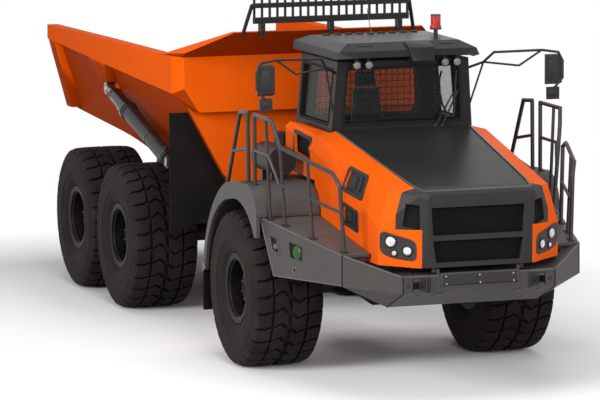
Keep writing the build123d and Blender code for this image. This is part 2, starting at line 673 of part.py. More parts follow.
# offset from the front axle, |y|, z
ROOF_POINTS = side_points([
    (-470, 715, CAB_TOP_Z), (680, 715, CAB_TOP_Z), (-485, 790, 3200), (800, 770, 3190), (840, 600, 3200),
    (-480, 780, 3280), (790, 740, 3260), (820, 560, 3265), (-400, 640, 3335), (640, 600, 3335)])
ROOF_WALL = 40
ROOF_Z = 3335


def roof_shell():
    """Hollow roof moulding with a visor over the windscreen and rounded-off shoulders."""
    return cut(faceted(ROOF_POINTS), faceted(ROOF_POINTS, ROOF_WALL, [(0, 0, -1)]))


def cab_roof():
    """The roof, work lamps on stays under the visor's corners, and a beacon on its stalk."""
    lamps, roof = [], roof_shell()
    save("cab_roof", roof)
    for s in (1, -1):
        for y in (410, 540):
            can = rod((front(705), s * y, 3120), (front(762), s * y, 3120), 42)
            stay = block((front(715), front(740)), (s * y - 15, s * y + 15), (3140, 3290))
            lamps.append(cut(join(can, stay), roof))
    x, y = front(100), 560
    beacon = join(
        rod((x, y, ROOF_Z), (x, y, ROOF_Z + 65), 22),
        rod((x, y, ROOF_Z + 60), (x, y, ROOF_Z + 95), 60),
        rod((x, y, ROOF_Z + 90), (x, y, ROOF_Z + 210), 52),
    )
    save("roof_lamps", *lamps, beacon)


def cab_fittings():
    floor = CAB_FLOOR_Z + CAB_WALL
    x, y = front(-300), -60
    seat = join(
        block((x + 80, x + 460), (y - 170, y + 170), (floor, floor + 300)),
        block((x, x + 540), (y - 260, y + 260), (floor + 300, floor + 440)),
        plate_y([(x, floor + 380), (x + 130, floor + 380), (x + 30, floor + 950), (x - 60, floor + 950)],
                (y - 240, y + 240)),
        plate_y([(x - 48, floor + 940), (x + 24, floor + 940), (x + 14, floor + 1110),
                 (x - 60, floor + 1110)], (y - 140, y + 140)),
        *[block((x + 90, x + 400), (y + s * 260, y + s * 330), (floor + 560, floor + 610)) for s in (1, -1)],
        *[block((x + 90, x + 140), (y + s * 258, y + s * 320), (floor + 400, floor + 570)) for s in (1, -1)],
    )
    save("seat", seat)
    dash = join(
        plate_y([(front(350), 2330), (front(430), 2400), (front(535), 2410), (front(495), floor),
                 (front(420), floor)], (-620, 620)),
        rod((front(400), -60, 2250), (front(300), -60, 2470), 28),
    )
    spokes = [Rot(0, 0, a) * Pos(95, 0, 0) * Box(190, 26, 14) for a in (90, 210, 330)]
    wheel = Plane(origin=Vector(front(300), -60, 2470), z_dir=Vector(-100, 0, 220)) * join(
        Torus(190, 15), *spokes, Cylinder(40, 24))
    save("dashboard", join(dash, wheel))


ARM_R = 13


def mirrors():
    """Mirrors on tube arms from the cab's front posts: upper tube, lower tube, strut, two heads."""
    sides = []
    for s in (1, -1):
        knee, elbow = (front(700), s * 850, 3100), (front(850), s * 1430, 3215)
        upper = tube_run([(front(590), s * 700, 3030), knee, (front(790), s * 930, 3205), elbow,
                          (front(880), s * 1600, 3190), (front(885), s * 1645, 3100),
                          (front(885), s * 1645, 2930), (front(880), s * 1560, 2830)], ARM_R)
        lower = tube_run([knee, (front(800), s * 1200, 3060), elbow], ARM_R - 2)
        strut = tube_run([knee, (front(575), s * 725, 2600)], ARM_R - 3)
        head = faceted([(front(840) + dx, s * (1545 + dy), z)
                        for dx, half, z0, z1 in ((0, 80, 2860, 3170), (45, 93, 2880, 3150))
                        for dy in (-half, half) for z in (z0, z1)])
        small = block((front(845), front(885)), (s * 1480, s * 1610), (2710, 2835))
        sides.append(cut(join(upper, lower, strut, head, small), faceted(CAB_POINTS), faceted(ROOF_POINTS)))
    save("mirrors", *sides)


# --- hood ---------------------------------------------------------------------------------------
# columns are offset from the front axle, |y|, z: top edge, shoulder, waist and hem of each section
HOOD_REAR = HOOD_REAR_X - FRONT_AXLE_X
HOOD_TABLE = [
    (HOOD_REAR, 715, 2453), (HOOD_REAR, 905, 2405), (HOOD_REAR, 950, 2250), (HOOD_REAR, 950, 1560),
    (1530, 950, 2030), (1530, 950, 1345),
    (2465, 600, 2112), (2465, 830, 2060), (2465, 935, 1700), (2465, 940, 1345),
    (2690, 560, 2072), (2690, 605, 2030), (2690, 615, 1700), (2690, 600, 1325),
    (2720, 500, 2035), (2720, 520, 1990), (2720, 530, 1650), (2720, 470, 1325),
]
HOOD_POINTS = side_points(HOOD_TABLE)
HOOD_TOP_EDGE = [(HOOD_REAR, 715), (2465, 600), (2690, 560)]
GRILLE_REAR = 2560  # offset of the grille's side openings' rear edge
GRILLE_LOW_Z = 1700
GRILLE_MID_Y = 575
HOOD_OPEN = [(0, 0, -1), (-1, 0, 0)]


def top_panel_block(gap):
    """The region above the dark top panel's edges, in plan, grown by gap."""
    edge = [(front(a), y + gap) for a, y in HOOD_TOP_EDGE]
    outline = [(front(HOOD_REAR) - 10, edge[0][1])] + edge + [(front(2692), edge[-1][1])]
    outline += [(px, -py) for px, py in reversed(outline)]
    return plate_z(outline, (2000, 2500))


def grille_block(gap):
    """The region of the grille: the middle of the nose and a band round its upper corners."""
    middle = block((front(2610) - gap, front(2800)), (-GRILLE_MID_Y - gap, GRILLE_MID_Y + gap), (1200, 2200))
    band = block((front(GRILLE_REAR) - gap, front(2800)), (-900, 900), (GRILLE_LOW_Z - gap, 2200))
    return join(middle, band)


# offset, |y| and z of a point on each headlamp's axis, and the lamp's radius
HEADLAMPS = [(2450, 780, 1581, 58), (2540, 640, 1494, 50), (2500, 770, 1470, 30)]


def hood():
    outer = faceted(HOOD_POINTS)
    shell = cut(outer, faceted(HOOD_POINTS, HOOD_WALL, HOOD_OPEN))
    nose = cut(outer, faceted(HOOD_POINTS, GRILLE_WALL, HOOD_OPEN))
    lamps = [rod((front(a), s * y, z), (front(a) + 300, s * (y + 200), z), r)
             for s in (1, -1) for a, y, z, r in HEADLAMPS]
    top = (shell & top_panel_block(0))
    save("hood_top", cut(top, grille_block(SEAM)))
    side = cut(shell, top_panel_block(SEAM), grille_block(SEAM))
    vents = [vent(s, a, z, w, h) for s in (1, -1) for a, z, w, h in VENTS]
    save("hood_sides", cut(side, *vents, *lamps))
    openings = [
        plate_x([(484, 1911), (469, 1638), (-469, 1638), (-484, 1911)], (front(2500), front(2800))),
        plate_x([(469, 1586), (438, 1372), (-438, 1372), (-469, 1586)], (front(2500), front(2800))),
    ]
    corner = [(2640, 560, 1938), (2585, 690, 1950), (2590, 735, 1735), (2665, 575, 1690)]
    openings += [faceted([(front(a) + d * 150, s * (y + d * 105), z) for a, y, z in corner for d in (-1, 1)])
                 for s in (1, -1)]
    grille = cut(nose & grille_block(0), *openings)
    save("grille", join(grille, *[hood_lug(s) for s in (1, -1)]))


def hood_lug(s):
    """Lug under the grille with the hole for the hood's hinge pin."""
    x, z = HOOD_PIN
    y0, y1 = s * (FRONT_RAIL_Y[1] - 20), s * (FRONT_RAIL_Y[1] + 10)
    lug = join(rod((x, y0, z), (x, y1, z), HOOD_PIN_R * 2),
               block((x - HOOD_PIN_R * 2, x + HOOD_PIN_R), (y0, y1), (z, z + 60)))
    return cut(lug, rod((x, y0 - s * 10, z), (x, y1 + s * 10, z), HOOD_PIN_R + SHAFT_GAP))


# offset of the middle, z of the middle, width and height of the side vents
VENTS = [(1740, 2055, 400, 230), (1690, 1715, 380, 200)]


def vent(s, a, z, w, h):
    """Cutter for a vent in the hood's side, wider at its foot."""
    outline = [(a - w / 2, z - h / 2 + 40), (a + w / 2, z - h / 2), (a + w / 2, z + h / 2 - 40),
               (a - w / 2 + 20, z + h / 2)]
    return plate_y([(front(px), pz) for px, pz in outline], (s * 860, s * 1000))


COWL_REAR = -270  # offset of the cowl's rear edge
COWL_WINDOW = [(20, 2190), (450, 2150), (450, 2340), (20, 2380)]


def cowl():
    """Fixed panel that carries the hood's shoulder back beside the cab, on the right."""
    nose = HOOD_REAR - 12
    inner = CAB_HALF_W + 8
    shape = [(front(a), -y, z) for a, y, z in [
        (COWL_REAR, inner, 2440), (COWL_REAR, 900, 2465), (COWL_REAR, 950, 2420), (COWL_REAR, 950, 1985),
        (COWL_REAR, inner, 1985), (nose, inner, 2430), (nose, 905, 2405), (nose, 950, 2250),
        (nose, 950, 1960), (nose, inner, 1960)]]
    shell = cut(faceted(shape), faceted(shape, HOOD_WALL, [(0, 0, -1), (0, 1, 0)]))
    window = plate_y([(front(a), z) for a, z in COWL_WINDOW], (-1000, -880))
    carriers = [cut(block((front(a), front(a + 30)), (-CAB_HALF_W + 20, -930), z), faceted(CAB_POINTS))
                for a in (-200, 480) for z in ((2000, 2040), (2370, 2400))]
    save("cowl_right", join(cut(shell, window), *carriers))


def air_cleaner():
    """Air cleaner can with its stack, on the fender's platform beside the cab."""
    y = -1190
    can = join(
        rod((front(-230), y, 2130), (front(330), y, 2130), 150),
        *[block((front(a), front(a + 50)), (y - 90, y + 90), (z, 2060))
          for a, z in ((-90, 1880), (200, 1915))],
    )
    stack = join(rod((front(-380), y + 230, PLATFORM_Z - 5), (front(-380), y + 230, 2330), 75),
                 rod((front(-380), y + 230, 2310), (front(-380), y + 230, 2350), 85))
    skin = fender(-1)
    save("air_cleaner", cut(can, skin), cut(stack, skin))


# --- steering and roll joint --------------------------------------------------------------------
KNUCKLE_R = 110
RING_WALL = 60


def artic_hitch():
    """Knuckle on the steering pin, neck, roll tube with its flanges, and the ears for the steering rods."""
    low, high = YOKE_Z[0][1] + END_GAP, YOKE_Z[1][0] - END_GAP
    ring_rear, ring_front = (ARTIC_X + a for a in ROLL_RING)
    knuckle = rod((ARTIC_X, 0, low), (ARTIC_X, 0, high), KNUCKLE_R)
    neck = block((ring_front + END_GAP, ARTIC_X - 40), (-100, 100), (DRIVE_Z - 130, DRIVE_Z + 130))
    tube = rod((ring_rear - END_GAP - 40, 0, DRIVE_Z), (ring_front + END_GAP + 30, 0, DRIVE_Z), ROLL_TUBE_R)
    flange_r = ROLL_TUBE_R + 40
    flanges = [rod((x, 0, DRIVE_Z), (x + 34, 0, DRIVE_Z), flange_r)
               for x in (ring_rear - END_GAP - 34, ring_front + END_GAP)]
    ears = []
    for s in (1, -1):
        x, y = STEER_EYE
        for z in ((STEER_Z + 30, STEER_Z + 50), (STEER_Z - 50, STEER_Z - 30)):
            ears.append(plate_z([(x + 45, s * 60), (x + 45, s * (y + 45)), (x - 45, s * (y + 45)),
                                 (x - 150, s * 60)], z))
    pin_hole = rod((ARTIC_X, 0, low - 10), (ARTIC_X, 0, high + 10), ARTIC_PIN_R + SHAFT_GAP)
    core = rod((ring_rear - 100, 0, DRIVE_Z), (ring_front - 60, 0, DRIVE_Z), ROLL_TUBE_R - 60)
    save("artic_hitch", cut(join(knuckle, neck, tube, *flanges, *ears), pin_hole, core))


def cylinder_axis(start, end):
    """Unit vector and length from one point to another."""
    run = Vector(*end) - Vector(*start)
    return run.normalized(), run.length


STEER_BARREL_LEN = 630
STEER_GLAND = 30
STEER_PISTON = 30
STEER_ROD_TAIL = 322  # the rod's inner end, from the barrel's pin


def steering_cylinders():
    """Barrels pinned to the front frame and rods that reach the hitch's ears."""
    for side, s in SIDES:
        foot = (STEER_FOOT[0], s * STEER_FOOT[1], STEER_Z)
        eye = (STEER_EYE[0], s * STEER_EYE[1], STEER_Z)
        axis, _ = cylinder_axis(foot, eye)

        def at(distance):
            return tuple(Vector(*foot) + axis * distance)

        def upright(place, radius, half):
            return rod((place[0], place[1], STEER_Z - half), (place[0], place[1], STEER_Z + half), radius)

        eye_half = 24
        bore = STEER_ROD_R + 6
        gland = STEER_BARREL_LEN - STEER_GLAND
        shell = join(upright(foot, STEER_BARREL_R, eye_half), rod(at(0), at(70), 20),
                     rod(at(60), at(STEER_BARREL_LEN), STEER_BARREL_R))
        save(f"steering_barrel_{side}", cut(
            shell, upright(foot, STEER_PIN_R + SHAFT_GAP, 60), rod(at(78), at(gland), bore),
            rod(at(gland - 5), at(STEER_BARREL_LEN + 5), STEER_ROD_R + SHAFT_GAP)))
        piston = rod(at(STEER_ROD_TAIL), at(STEER_ROD_TAIL + STEER_PISTON), bore - SHAFT_GAP)
        save(f"steering_rod_{side}", join(rod(at(STEER_ROD_TAIL), eye, STEER_ROD_R), piston,
                                          upright(eye, 42, eye_half)))


# --- rear frame ---------------------------------------------------------------------------------
CROSS_MEMBER_RISE = 130  # cross members' underside, above the rails'


def rear_frame():
    """Two rails, the roll ring with its tube, cross members, bin hinges and rest pads."""
    ring_rear, ring_front = (ARTIC_X + a for a in ROLL_RING)
    rails_x = (REAR_AXLE_X - 640, ring_front - 40)
    members = [block(rails_x, (s * REAR_RAIL_Y[0], s * REAR_RAIL_Y[1]), REAR_RAIL_Z) for s in (1, -1)]
    inner = (-REAR_RAIL_Y[0], REAR_RAIL_Y[0])
    members.append(rod((ring_rear, 0, DRIVE_Z), (ring_front, 0, DRIVE_Z), ROLL_TUBE_R + RING_WALL))
    members.append(block((ring_rear, ring_rear + 60), inner, (DRIVE_Z - 240, REAR_RAIL_Z[1])))
    members.append(block((ring_rear + 120, ring_rear + 180), inner, (DRIVE_Z - 200, REAR_RAIL_Z[1])))
    for x in (HOIST_FOOT[0], BIN_PIVOT_X, (MID_AXLE_X + REAR_AXLE_X) / 2):
        members.append(block((x - 60, x + 60), inner, (REAR_RAIL_Z[0] + CROSS_MEMBER_RISE, REAR_RAIL_Z[1])))
    for s in (1, -1):
        members += bin_hinge(s)
        members += [rest_pad(s, x) for x in (BIN_FRONT_X - 400, BIN_FRONT_X - 1900)]
    members.append(tow_hitch())
    bore = rod((ring_rear - 10, 0, DRIVE_Z), (ring_front + 10, 0, DRIVE_Z), ROLL_TUBE_R + SHAFT_GAP)
    save("rear_frame", cut(join(*members), bore, tow_hole()))
    save("hoist_feet", *[hoist_foot(s) for s in (1, -1)])


REAR_PIN_R = 25
REAR_HITCH_X = REAR_AXLE_X - 700
REAR_HITCH_Z = (1000, 1200)


def tow_hitch():
    """Two plates behind the frame's end, with a vertical pin hole."""
    x_end = REAR_AXLE_X - 640
    plates = [block((REAR_HITCH_X - 60, x_end + 40), (-90, 90), z)
              for z in ((REAR_HITCH_Z[0], REAR_HITCH_Z[0] + 40), (REAR_HITCH_Z[1] - 40, REAR_HITCH_Z[1]))]
    beam = block((x_end, x_end + 50), (-REAR_RAIL_Y[0], REAR_RAIL_Y[0]), REAR_RAIL_Z)
    return join(beam, *plates)


def tow_hole():
    return rod((REAR_HITCH_X, 0, REAR_HITCH_Z[0] - 50), (REAR_HITCH_X, 0, REAR_HITCH_Z[1] + 50), REAR_PIN_R)


def hoist_foot(s):
    """Outrigger beam and upright that carry a hoist barrel's lower pin outside the bin."""
    x, z = HOIST_FOOT
    upright_y = (HOIST_Y - 170, HOIST_Y - 120)
    low = REAR_RAIL_Z[0] + CROSS_MEMBER_RISE
    beam = block((x - 60, x + 60), (s * REAR_RAIL_Y[1], s * upright_y[1]), (low, REAR_RAIL_Z[1]))
    upright = plate_y([(x - 150, low), (x + 150, low), (x + 70, z + 60), (x - 70, z + 60)],
                      (s * upright_y[0], s * upright_y[1]))
    pin = rod((x, s * upright_y[0], z), (x, s * (HOIST_Y + HOIST_EYE_HALF + 8), z), HOIST_PIN_R)
    return join(beam, upright, pin)


HOIST_EYE_HALF = 45
BIN_LUG_Y = (250, 350)


def bin_hinge(s):
    """Bracket on the rail and the pin that the bin's lug turns on."""
    x, z = BIN_PIVOT_X, BIN_PIVOT_Z
    foot_z = REAR_RAIL_Z[1] - 5
    bracket = plate_y([(x - 200, foot_z), (x + 200, foot_z), (x + 75, z + 20), (x - 75, z + 20)],
                      (s * REAR_RAIL_Y[0], s * REAR_RAIL_Y[1]))
    pin = rod((x, s * (BIN_LUG_Y[0] - 20), z), (x, s * REAR_RAIL_Y[1], z), BIN_PIN_R)
    return [bracket, pin]


def rest_pad(s, x):
    """Pad on the rail that the bin's floor comes down on."""
    return block((x - 100, x + 100), (s * REAR_RAIL_Y[0], s * REAR_RAIL_Y[1]),
                 (REAR_RAIL_Z[1], BIN_FLOOR_Z - END_GAP))


BEAM_Y = (500, 640)
BEAM_PIVOT_Z = 1100


def bogie():
    """Middle and rear axles, and the beam on each side that rocks between them."""
    save("middle_axle", axle(MID_AXLE_X))
    save("rear_axle", axle(REAR_AXLE_X))
    x0, x1 = REAR_AXLE_X, MID_AXLE_X
    mid = (x0 + x1) / 2
    low = TYRE_R + AXLE_TUBE_R
    beams = []
    for s in (1, -1):
        y = (s * BEAM_Y[0], s * BEAM_Y[1])
        beam = plate_y([(x0 - 90, low), (x0 + 90, low), (mid, low + 60), (x1 - 90, low), (x1 + 90, low),
                        (x1 + 60, low + 90), (mid + 120, low + 270), (mid - 120, low + 270),
                        (x0 - 60, low + 90)], y)
        shaft = rod((mid, s * REAR_RAIL_Y[1], BEAM_PIVOT_Z), (mid, s * BEAM_Y[0], BEAM_PIVOT_Z), 60)
        beams.append(join(beam, shaft))
    save("walking_beams", *beams)


# --- bin ----------------------------------------------------------------------------------------
# columns are X, rail top z, rail bottom z, knee |y| and z, floor's |y| and underside z
BIN_FLOOR_Z = 1400
BIN_SECTIONS = [
    (BIN_FRONT_X, 2960, 2560, 920, 1680, 700, BIN_FLOOR_Z),
    (BIN_PIVOT_X + 1400, 2937, 2645, 920, 1680, 700, BIN_FLOOR_Z),
    (TAIL_X, 2905, 2740, 1130, 1900, 720, 1870),
]
V_TOP_Y = 1400
RAIL_BOX_W = 130
RAIL_BOX_WALL = 25


def bin_side(s):
    """One side of the bin: a box rail along the top, the sloping wall and the turn into the floor."""
    faces, hollows = [], []
    for x, rail_top, rail_bottom, knee_y, knee_z, floor_y, floor_z in BIN_SECTIONS:
        inner_y = BIN_HALF_W - RAIL_BOX_W
        w = BIN_WALL
        outline = [
            (BIN_HALF_W, rail_top), (BIN_HALF_W, rail_bottom), (V_TOP_Y, rail_bottom), (knee_y, knee_z),
            (floor_y, floor_z), (floor_y, floor_z + BIN_FLOOR_T), (knee_y - w, knee_z + w / 2),
            (inner_y, rail_bottom + w / 2), (inner_y, rail_top),
        ]
        faces.append(Face(Wire.make_polygon([Vector(x, s * y, z) for y, z in outline], close=True)))
        t = RAIL_BOX_WALL
        box = [(BIN_HALF_W - t, rail_top - t), (BIN_HALF_W - t, rail_bottom + t),
               (inner_y + t, rail_bottom + 2 * t), (inner_y + t, rail_top - t)]
        hollows.append(Face(Wire.make_polygon([Vector(x - 60, s * y, z) for y, z in box], close=True)))
    body, hollow = [join(*[Solid.make_loft([a.outer_wire(), b.outer_wire()], ruled=True)
                           for a, b in zip(rows, rows[1:])]) for rows in (faces, hollows)]
    return cut(body, hollow)


def bin_floor():
    """Floor that rises to the tail, with the lugs it tips on and two runners that rest on the pads."""
    pieces = []
    for rear, fore in zip(BIN_SECTIONS[1:], BIN_SECTIONS):
        ends = []
        for x, _, _, _, _, floor_y, floor_z in (rear, fore):
            outline = [(floor_y, floor_z), (-floor_y, floor_z), (-floor_y, floor_z + BIN_FLOOR_T),
                       (floor_y, floor_z + BIN_FLOOR_T)]
            ends.append(Wire.make_polygon([Vector(x, y, z) for y, z in outline], close=True))
        pieces.append(Solid.make_loft(ends, ruled=True))
    x, z = BIN_PIVOT_X, BIN_PIVOT_Z
    lugs = []
    for s in (1, -1):
        y = (s * BIN_LUG_Y[0], s * BIN_LUG_Y[1])
        lug = join(plate_y([(x - 75, z), (x + 75, z), (x + 260, floor_height(x + 260) + 10),
                            (x - 260, floor_height(x - 260) + 10)], y),
                   rod((x, y[0], z), (x, y[1], z), 75))
        lugs.append(cut(lug, rod((x, y[0] - s * 10, z), (x, y[1] + s * 10, z), BIN_PIN_R + SHAFT_GAP)))
    save("bin_floor", join(*pieces, *lugs))


def floor_height(x):
    """Underside of the bin's floor at x."""
    (x0, *_, z0), (x1, *_, z1) = BIN_SECTIONS[1], BIN_SECTIONS[2]
    return z0 if x > x0 else z0 + (z1 - z0) * (x - x0) / (x1 - x0)


def v_outer(z):
    """|y| of the sloping wall's outer face near the bin's front."""
    knee_y, knee_z, floor_y, floor_z = BIN_SECTIONS[0][3:]
    if z < knee_z:
        return floor_y + (knee_y - floor_y) * (z - floor_z) / (knee_z - floor_z)
    return knee_y + (V_TOP_Y - knee_y) * (z - knee_z) / (BIN_SECTIONS[0][2] - knee_z)


LEDGE_Z = 2360
LEDGE_DEPTH = 200
SPILL_TOP = (BIN_FRONT_X + 900, 1060, 3270)  # X, |y| and z of the spill plate's top corner


def spill_plate():
    """The plate that leans out from the upper wall; the guard's feet stand on it."""
    top_x, top_y, top_z = SPILL_TOP
    rail_top = BIN_SECTIONS[0][1]
    x1 = BIN_FRONT_X + LEDGE_DEPTH
    return faceted([(x, y, z) for x, y, z in both_sides([
        (x1 - 40, 1400, rail_top), (x1, 1400, rail_top), (top_x, top_y, top_z),
        (top_x - 40, top_y, top_z + 8)])])


def bin_front_wall():
    """Lower wall, ledge, upper wall and the spill plate that leans out over the cab's back."""
    x0, w = BIN_FRONT_X, BIN_WALL
    knee_y, knee_z, floor_y, floor_z = BIN_SECTIONS[0][3:]
    rail_top, rail_bottom = BIN_SECTIONS[0][1:3]
    lower = plate_x([(floor_y, floor_z), (knee_y, knee_z), (V_TOP_Y, rail_bottom), (BIN_HALF_W, rail_bottom),
                     (BIN_HALF_W, rail_top), (-BIN_HALF_W, rail_top), (-BIN_HALF_W, rail_bottom),
                     (-V_TOP_Y, rail_bottom), (-knee_y, knee_z), (-floor_y, floor_z)], (x0, x0 + w))
    y0 = v_outer(LEDGE_Z)
    x1 = x0 + LEDGE_DEPTH
    # the upper wall stands forward of the lower one, with a ledge under it and cheeks at its ends
    upper_shape = [(x, s * y, z) for s in (1, -1) for x, y, z in [
        (x0 + w, y0 - 30, LEDGE_Z), (x1, y0 - 60, LEDGE_Z), (x1, 1400, 2620), (x1, 1400, rail_top),
        (x0 + w, BIN_HALF_W, rail_top), (x0 + w, BIN_HALF_W, 2560)]]
    upper = cut(faceted(upper_shape), faceted(upper_shape, w, [(-1, 0, 0), (0, 0, 1)]))
    hole = plate_x([(y0 - 140, LEDGE_Z + w), (1340, 2600), (1340, rail_top + 10), (-1340, rail_top + 10),
                    (-1340, 2600), (-(y0 - 140), LEDGE_Z + w)], (x0 - 10, x0 + w + 10))
    top_x, top_y, top_z = SPILL_TOP
    wing_points = [
        (x0 - 300, BIN_HALF_W, rail_top), (x0 - 300, BIN_HALF_W - 40, rail_top),
        (x1, BIN_HALF_W - 70, rail_top), (x1 - 40, 1370, rail_top),
        (x1 + 150, BIN_HALF_W - 60, rail_top + 60), (top_x, top_y, top_z),
        (top_x - 40, top_y - 40, top_z + 8), (top_x - 60, top_y, top_z + 8)]
    wings = [faceted([(x, s * y, z) for x, y, z in wing_points]) for s in (1, -1)]
    save("bin_front_wall", join(cut(lower, hole), upper, spill_plate(), *wings))


GUARD_X = (BIN_FRONT_X + 940, BIN_FRONT_X + 990)
GUARD_HALF_W = 870
GUARD_Z = (3365, 3700)


def bin_guard():
    """Slatted screen that stands on the spill plate's lip."""
    x0, x1 = GUARD_X
    low, high = GUARD_Z
    rails = [block((x0, x1), (-GUARD_HALF_W, GUARD_HALF_W), z) for z in
             ((low, low + 65), (low + 165, low + 215), (high - 30, high))]
    count = 21
    slats = []
    for i in range(count):
        y = -GUARD_HALF_W + 10 + i * (2 * GUARD_HALF_W - 20) / (count - 1)
        slats.append(block((x0 + 10, x1 - 10), (y - 10, y + 10), (low, high)))
    feet = [block((x0 - 45, x1), (y - 25, y + 25), (SPILL_TOP[2] - 30, low + 20)) for y in (-770, 0, 770)]
    stays = [tube_run([(x0 - 60, s * 960, SPILL_TOP[2] - 20), (x0 + 20, s * 885, low + 190),
                       (x0 + 20, s * 840, low + 190)], 20) for s in (1, -1)]
    save("bin_guard", cut(join(*rails, *slats, *feet, *stays), spill_plate()))


FLAP_T = 12
FLAP_X = BIN_FRONT_X - 70
FLAP_Z = (1690, 2340)  # the stretch of the flap's edge that is bolted on
FLAP_GAP = 0.5


def splash_flaps():
    """Rubber flaps bolted to ribs on the bin's sides, one each side."""
    flaps = []
    for s in (1, -1):
        outline = [(v_outer(FLAP_Z[1]) + FLAP_GAP, FLAP_Z[1]), (BIN_HALF_W, FLAP_Z[1]), (BIN_HALF_W, 1100),
                   (1300, 1080), (790, 1380), (v_outer(FLAP_Z[0]) + FLAP_GAP, FLAP_Z[0])]
        flaps.append(plate_x([(s * y, z) for y, z in outline], (FLAP_X, FLAP_X + FLAP_T)))
    save("bin_splash_flaps", *flaps)


def flap_rib(s):
    """Rib on the sloping wall that a flap is bolted to."""
    depth = 45
    corners = [(FLAP_Z[1], -10), (FLAP_Z[1], depth), (FLAP_Z[0], depth), (FLAP_Z[0], -10)]
    outline = [(v_outer(z) + d, z) for z, d in corners]
    return plate_x([(s * y, z) for y, z in outline], (FLAP_X - 10, FLAP_X))


def hoist_boss(s):
    """Boss on the bin's side that the hoist rod's eye stands beside."""
    x, z = HOIST_EYE
    return rod((x, s * (HOIST_Y - 160), z), (x, s * (HOIST_Y - HOIST_EYE_HALF - END_GAP), z), 62)


def bin_body():
    for side, s in SIDES:
        panel = bin_side(s)
        inside = bin_inside()
        save(f"bin_side_{side}", join(panel, cut(hoist_boss(s), inside), flap_rib(s)))
    bin_floor()
    bin_front_wall()
    bin_guard()
    splash_flaps()


def bin_inside():
    """The load space behind the middle section, used to trim the hoist's bosses inside the bin."""
    w = BIN_WALL
    points = []
    for x, top, bottom, knee_y, knee_z, floor_y, floor_z in BIN_SECTIONS[1:]:
        points += [(x, floor_y, floor_z + BIN_FLOOR_T), (x, knee_y - w + 10, knee_z + w / 2),
                   (x, BIN_HALF_W - RAIL_BOX_W - 5, bottom + w / 2 + 10), (x, 0, top)]
    return faceted(both_sides(points))


# --- hoist cylinders ----------------------------------------------------------------------------
HOIST_BARREL_LEN = 1650
HOIST_STAGE_LEN = 2170  # end of the middle stage, from the lower pin
HOIST_STAGE_TAIL = 150
HOIST_ROD_TAIL = 350


def hoist_cylinders():
    """Two-stage hoist on each side: barrel on the frame's pin, middle stage, and rod with its eye."""
    for side, s in SIDES:
        foot = (HOIST_FOOT[0], s * HOIST_Y, HOIST_FOOT[1])
        eye = (HOIST_EYE[0], s * HOIST_Y, HOIST_EYE[1])
        axis, length = cylinder_axis(foot, eye)

        def at(distance):
            return tuple(Vector(*foot) + axis * distance)

        def cross_bar(place, radius, half):
            return rod((place[0], place[1] - half, place[2]), (place[0], place[1] + half, place[2]), radius)

        stage_bore = HOIST_STAGE_R + 8
        barrel = join(cross_bar(foot, 78, HOIST_EYE_HALF), rod(at(60), at(HOIST_BARREL_LEN), HOIST_BARREL_R),
                      rod(at(HOIST_BARREL_LEN - 110), at(HOIST_BARREL_LEN), HOIST_BARREL_R + 10))
        save(f"hoist_barrel_{side}", cut(
            barrel, cross_bar(foot, HOIST_PIN_R + SHAFT_GAP, 120),
            rod(at(110), at(HOIST_BARREL_LEN - 60), stage_bore),
            rod(at(HOIST_BARREL_LEN - 70), at(HOIST_BARREL_LEN + 10), HOIST_STAGE_R + SHAFT_GAP)))
        rod_bore = HOIST_ROD_R + 8
        stage = join(rod(at(HOIST_STAGE_TAIL), at(HOIST_STAGE_LEN), HOIST_STAGE_R),
                     rod(at(HOIST_STAGE_TAIL), at(HOIST_STAGE_TAIL + 60), stage_bore - SHAFT_GAP))
        save(f"hoist_stage_{side}", cut(
            stage, rod(at(HOIST_STAGE_TAIL + 40), at(HOIST_STAGE_LEN - 50), rod_bore),
            rod(at(HOIST_STAGE_LEN - 60), at(HOIST_STAGE_LEN + 10), HOIST_ROD_R + SHAFT_GAP)))
        tail = rod(at(HOIST_ROD_TAIL), at(HOIST_ROD_TAIL + 60), rod_bore - SHAFT_GAP)
        save(f"hoist_rod_{side}", join(rod(at(HOIST_ROD_TAIL), at(length - 40), HOIST_ROD_R), tail,
                                       cross_bar(eye, 70, HOIST_EYE_HALF)))


# --- build --------------------------------------------------------------------------------------
os.makedirs("parts", exist_ok=True)
wheels()
front_frame()
front_axle()
front_suspension()
engine()
bodywork()
handrails(1)
handrails(-1)
cab()
cab_roof()
cab_fittings()
mirrors()
hood()
cowl()
air_cleaner()
artic_hitch()
steering_cylinders()
rear_frame()
bogie()
bin_body()
hoist_cylinders()
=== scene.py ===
from math import cos, hypot, pi, radians, sin

import bmesh
import bpy
from mathutils import Matrix, Vector
from mathutils.bvhtree import BVHTree


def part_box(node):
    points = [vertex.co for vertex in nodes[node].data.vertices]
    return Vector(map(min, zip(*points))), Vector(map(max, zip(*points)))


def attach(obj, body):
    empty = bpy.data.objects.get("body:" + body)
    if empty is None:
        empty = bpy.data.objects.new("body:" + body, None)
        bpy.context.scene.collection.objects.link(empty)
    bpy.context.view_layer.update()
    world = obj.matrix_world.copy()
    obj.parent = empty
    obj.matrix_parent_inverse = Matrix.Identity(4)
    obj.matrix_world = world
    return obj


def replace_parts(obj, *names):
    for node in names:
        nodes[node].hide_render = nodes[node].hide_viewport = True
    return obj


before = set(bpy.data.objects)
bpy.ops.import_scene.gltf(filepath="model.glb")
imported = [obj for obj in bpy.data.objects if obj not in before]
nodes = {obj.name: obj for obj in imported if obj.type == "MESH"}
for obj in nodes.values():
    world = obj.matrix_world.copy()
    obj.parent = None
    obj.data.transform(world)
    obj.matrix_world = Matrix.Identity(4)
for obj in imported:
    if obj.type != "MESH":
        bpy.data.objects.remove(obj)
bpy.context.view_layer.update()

# --- The camera ---------------------------------------------------------------------------------
# A long lens well in front of the machine's right corner, a little above the cab's roof,
# so that the nose, the right side and the bin's side are all in view.
CAMERA_PLACE = (42.628, -14.797, 7.237)
CAMERA_PAN, CAMERA_TILT, CAMERA_ROLL = radians(160.974), radians(-7.421), radians(-0.307)
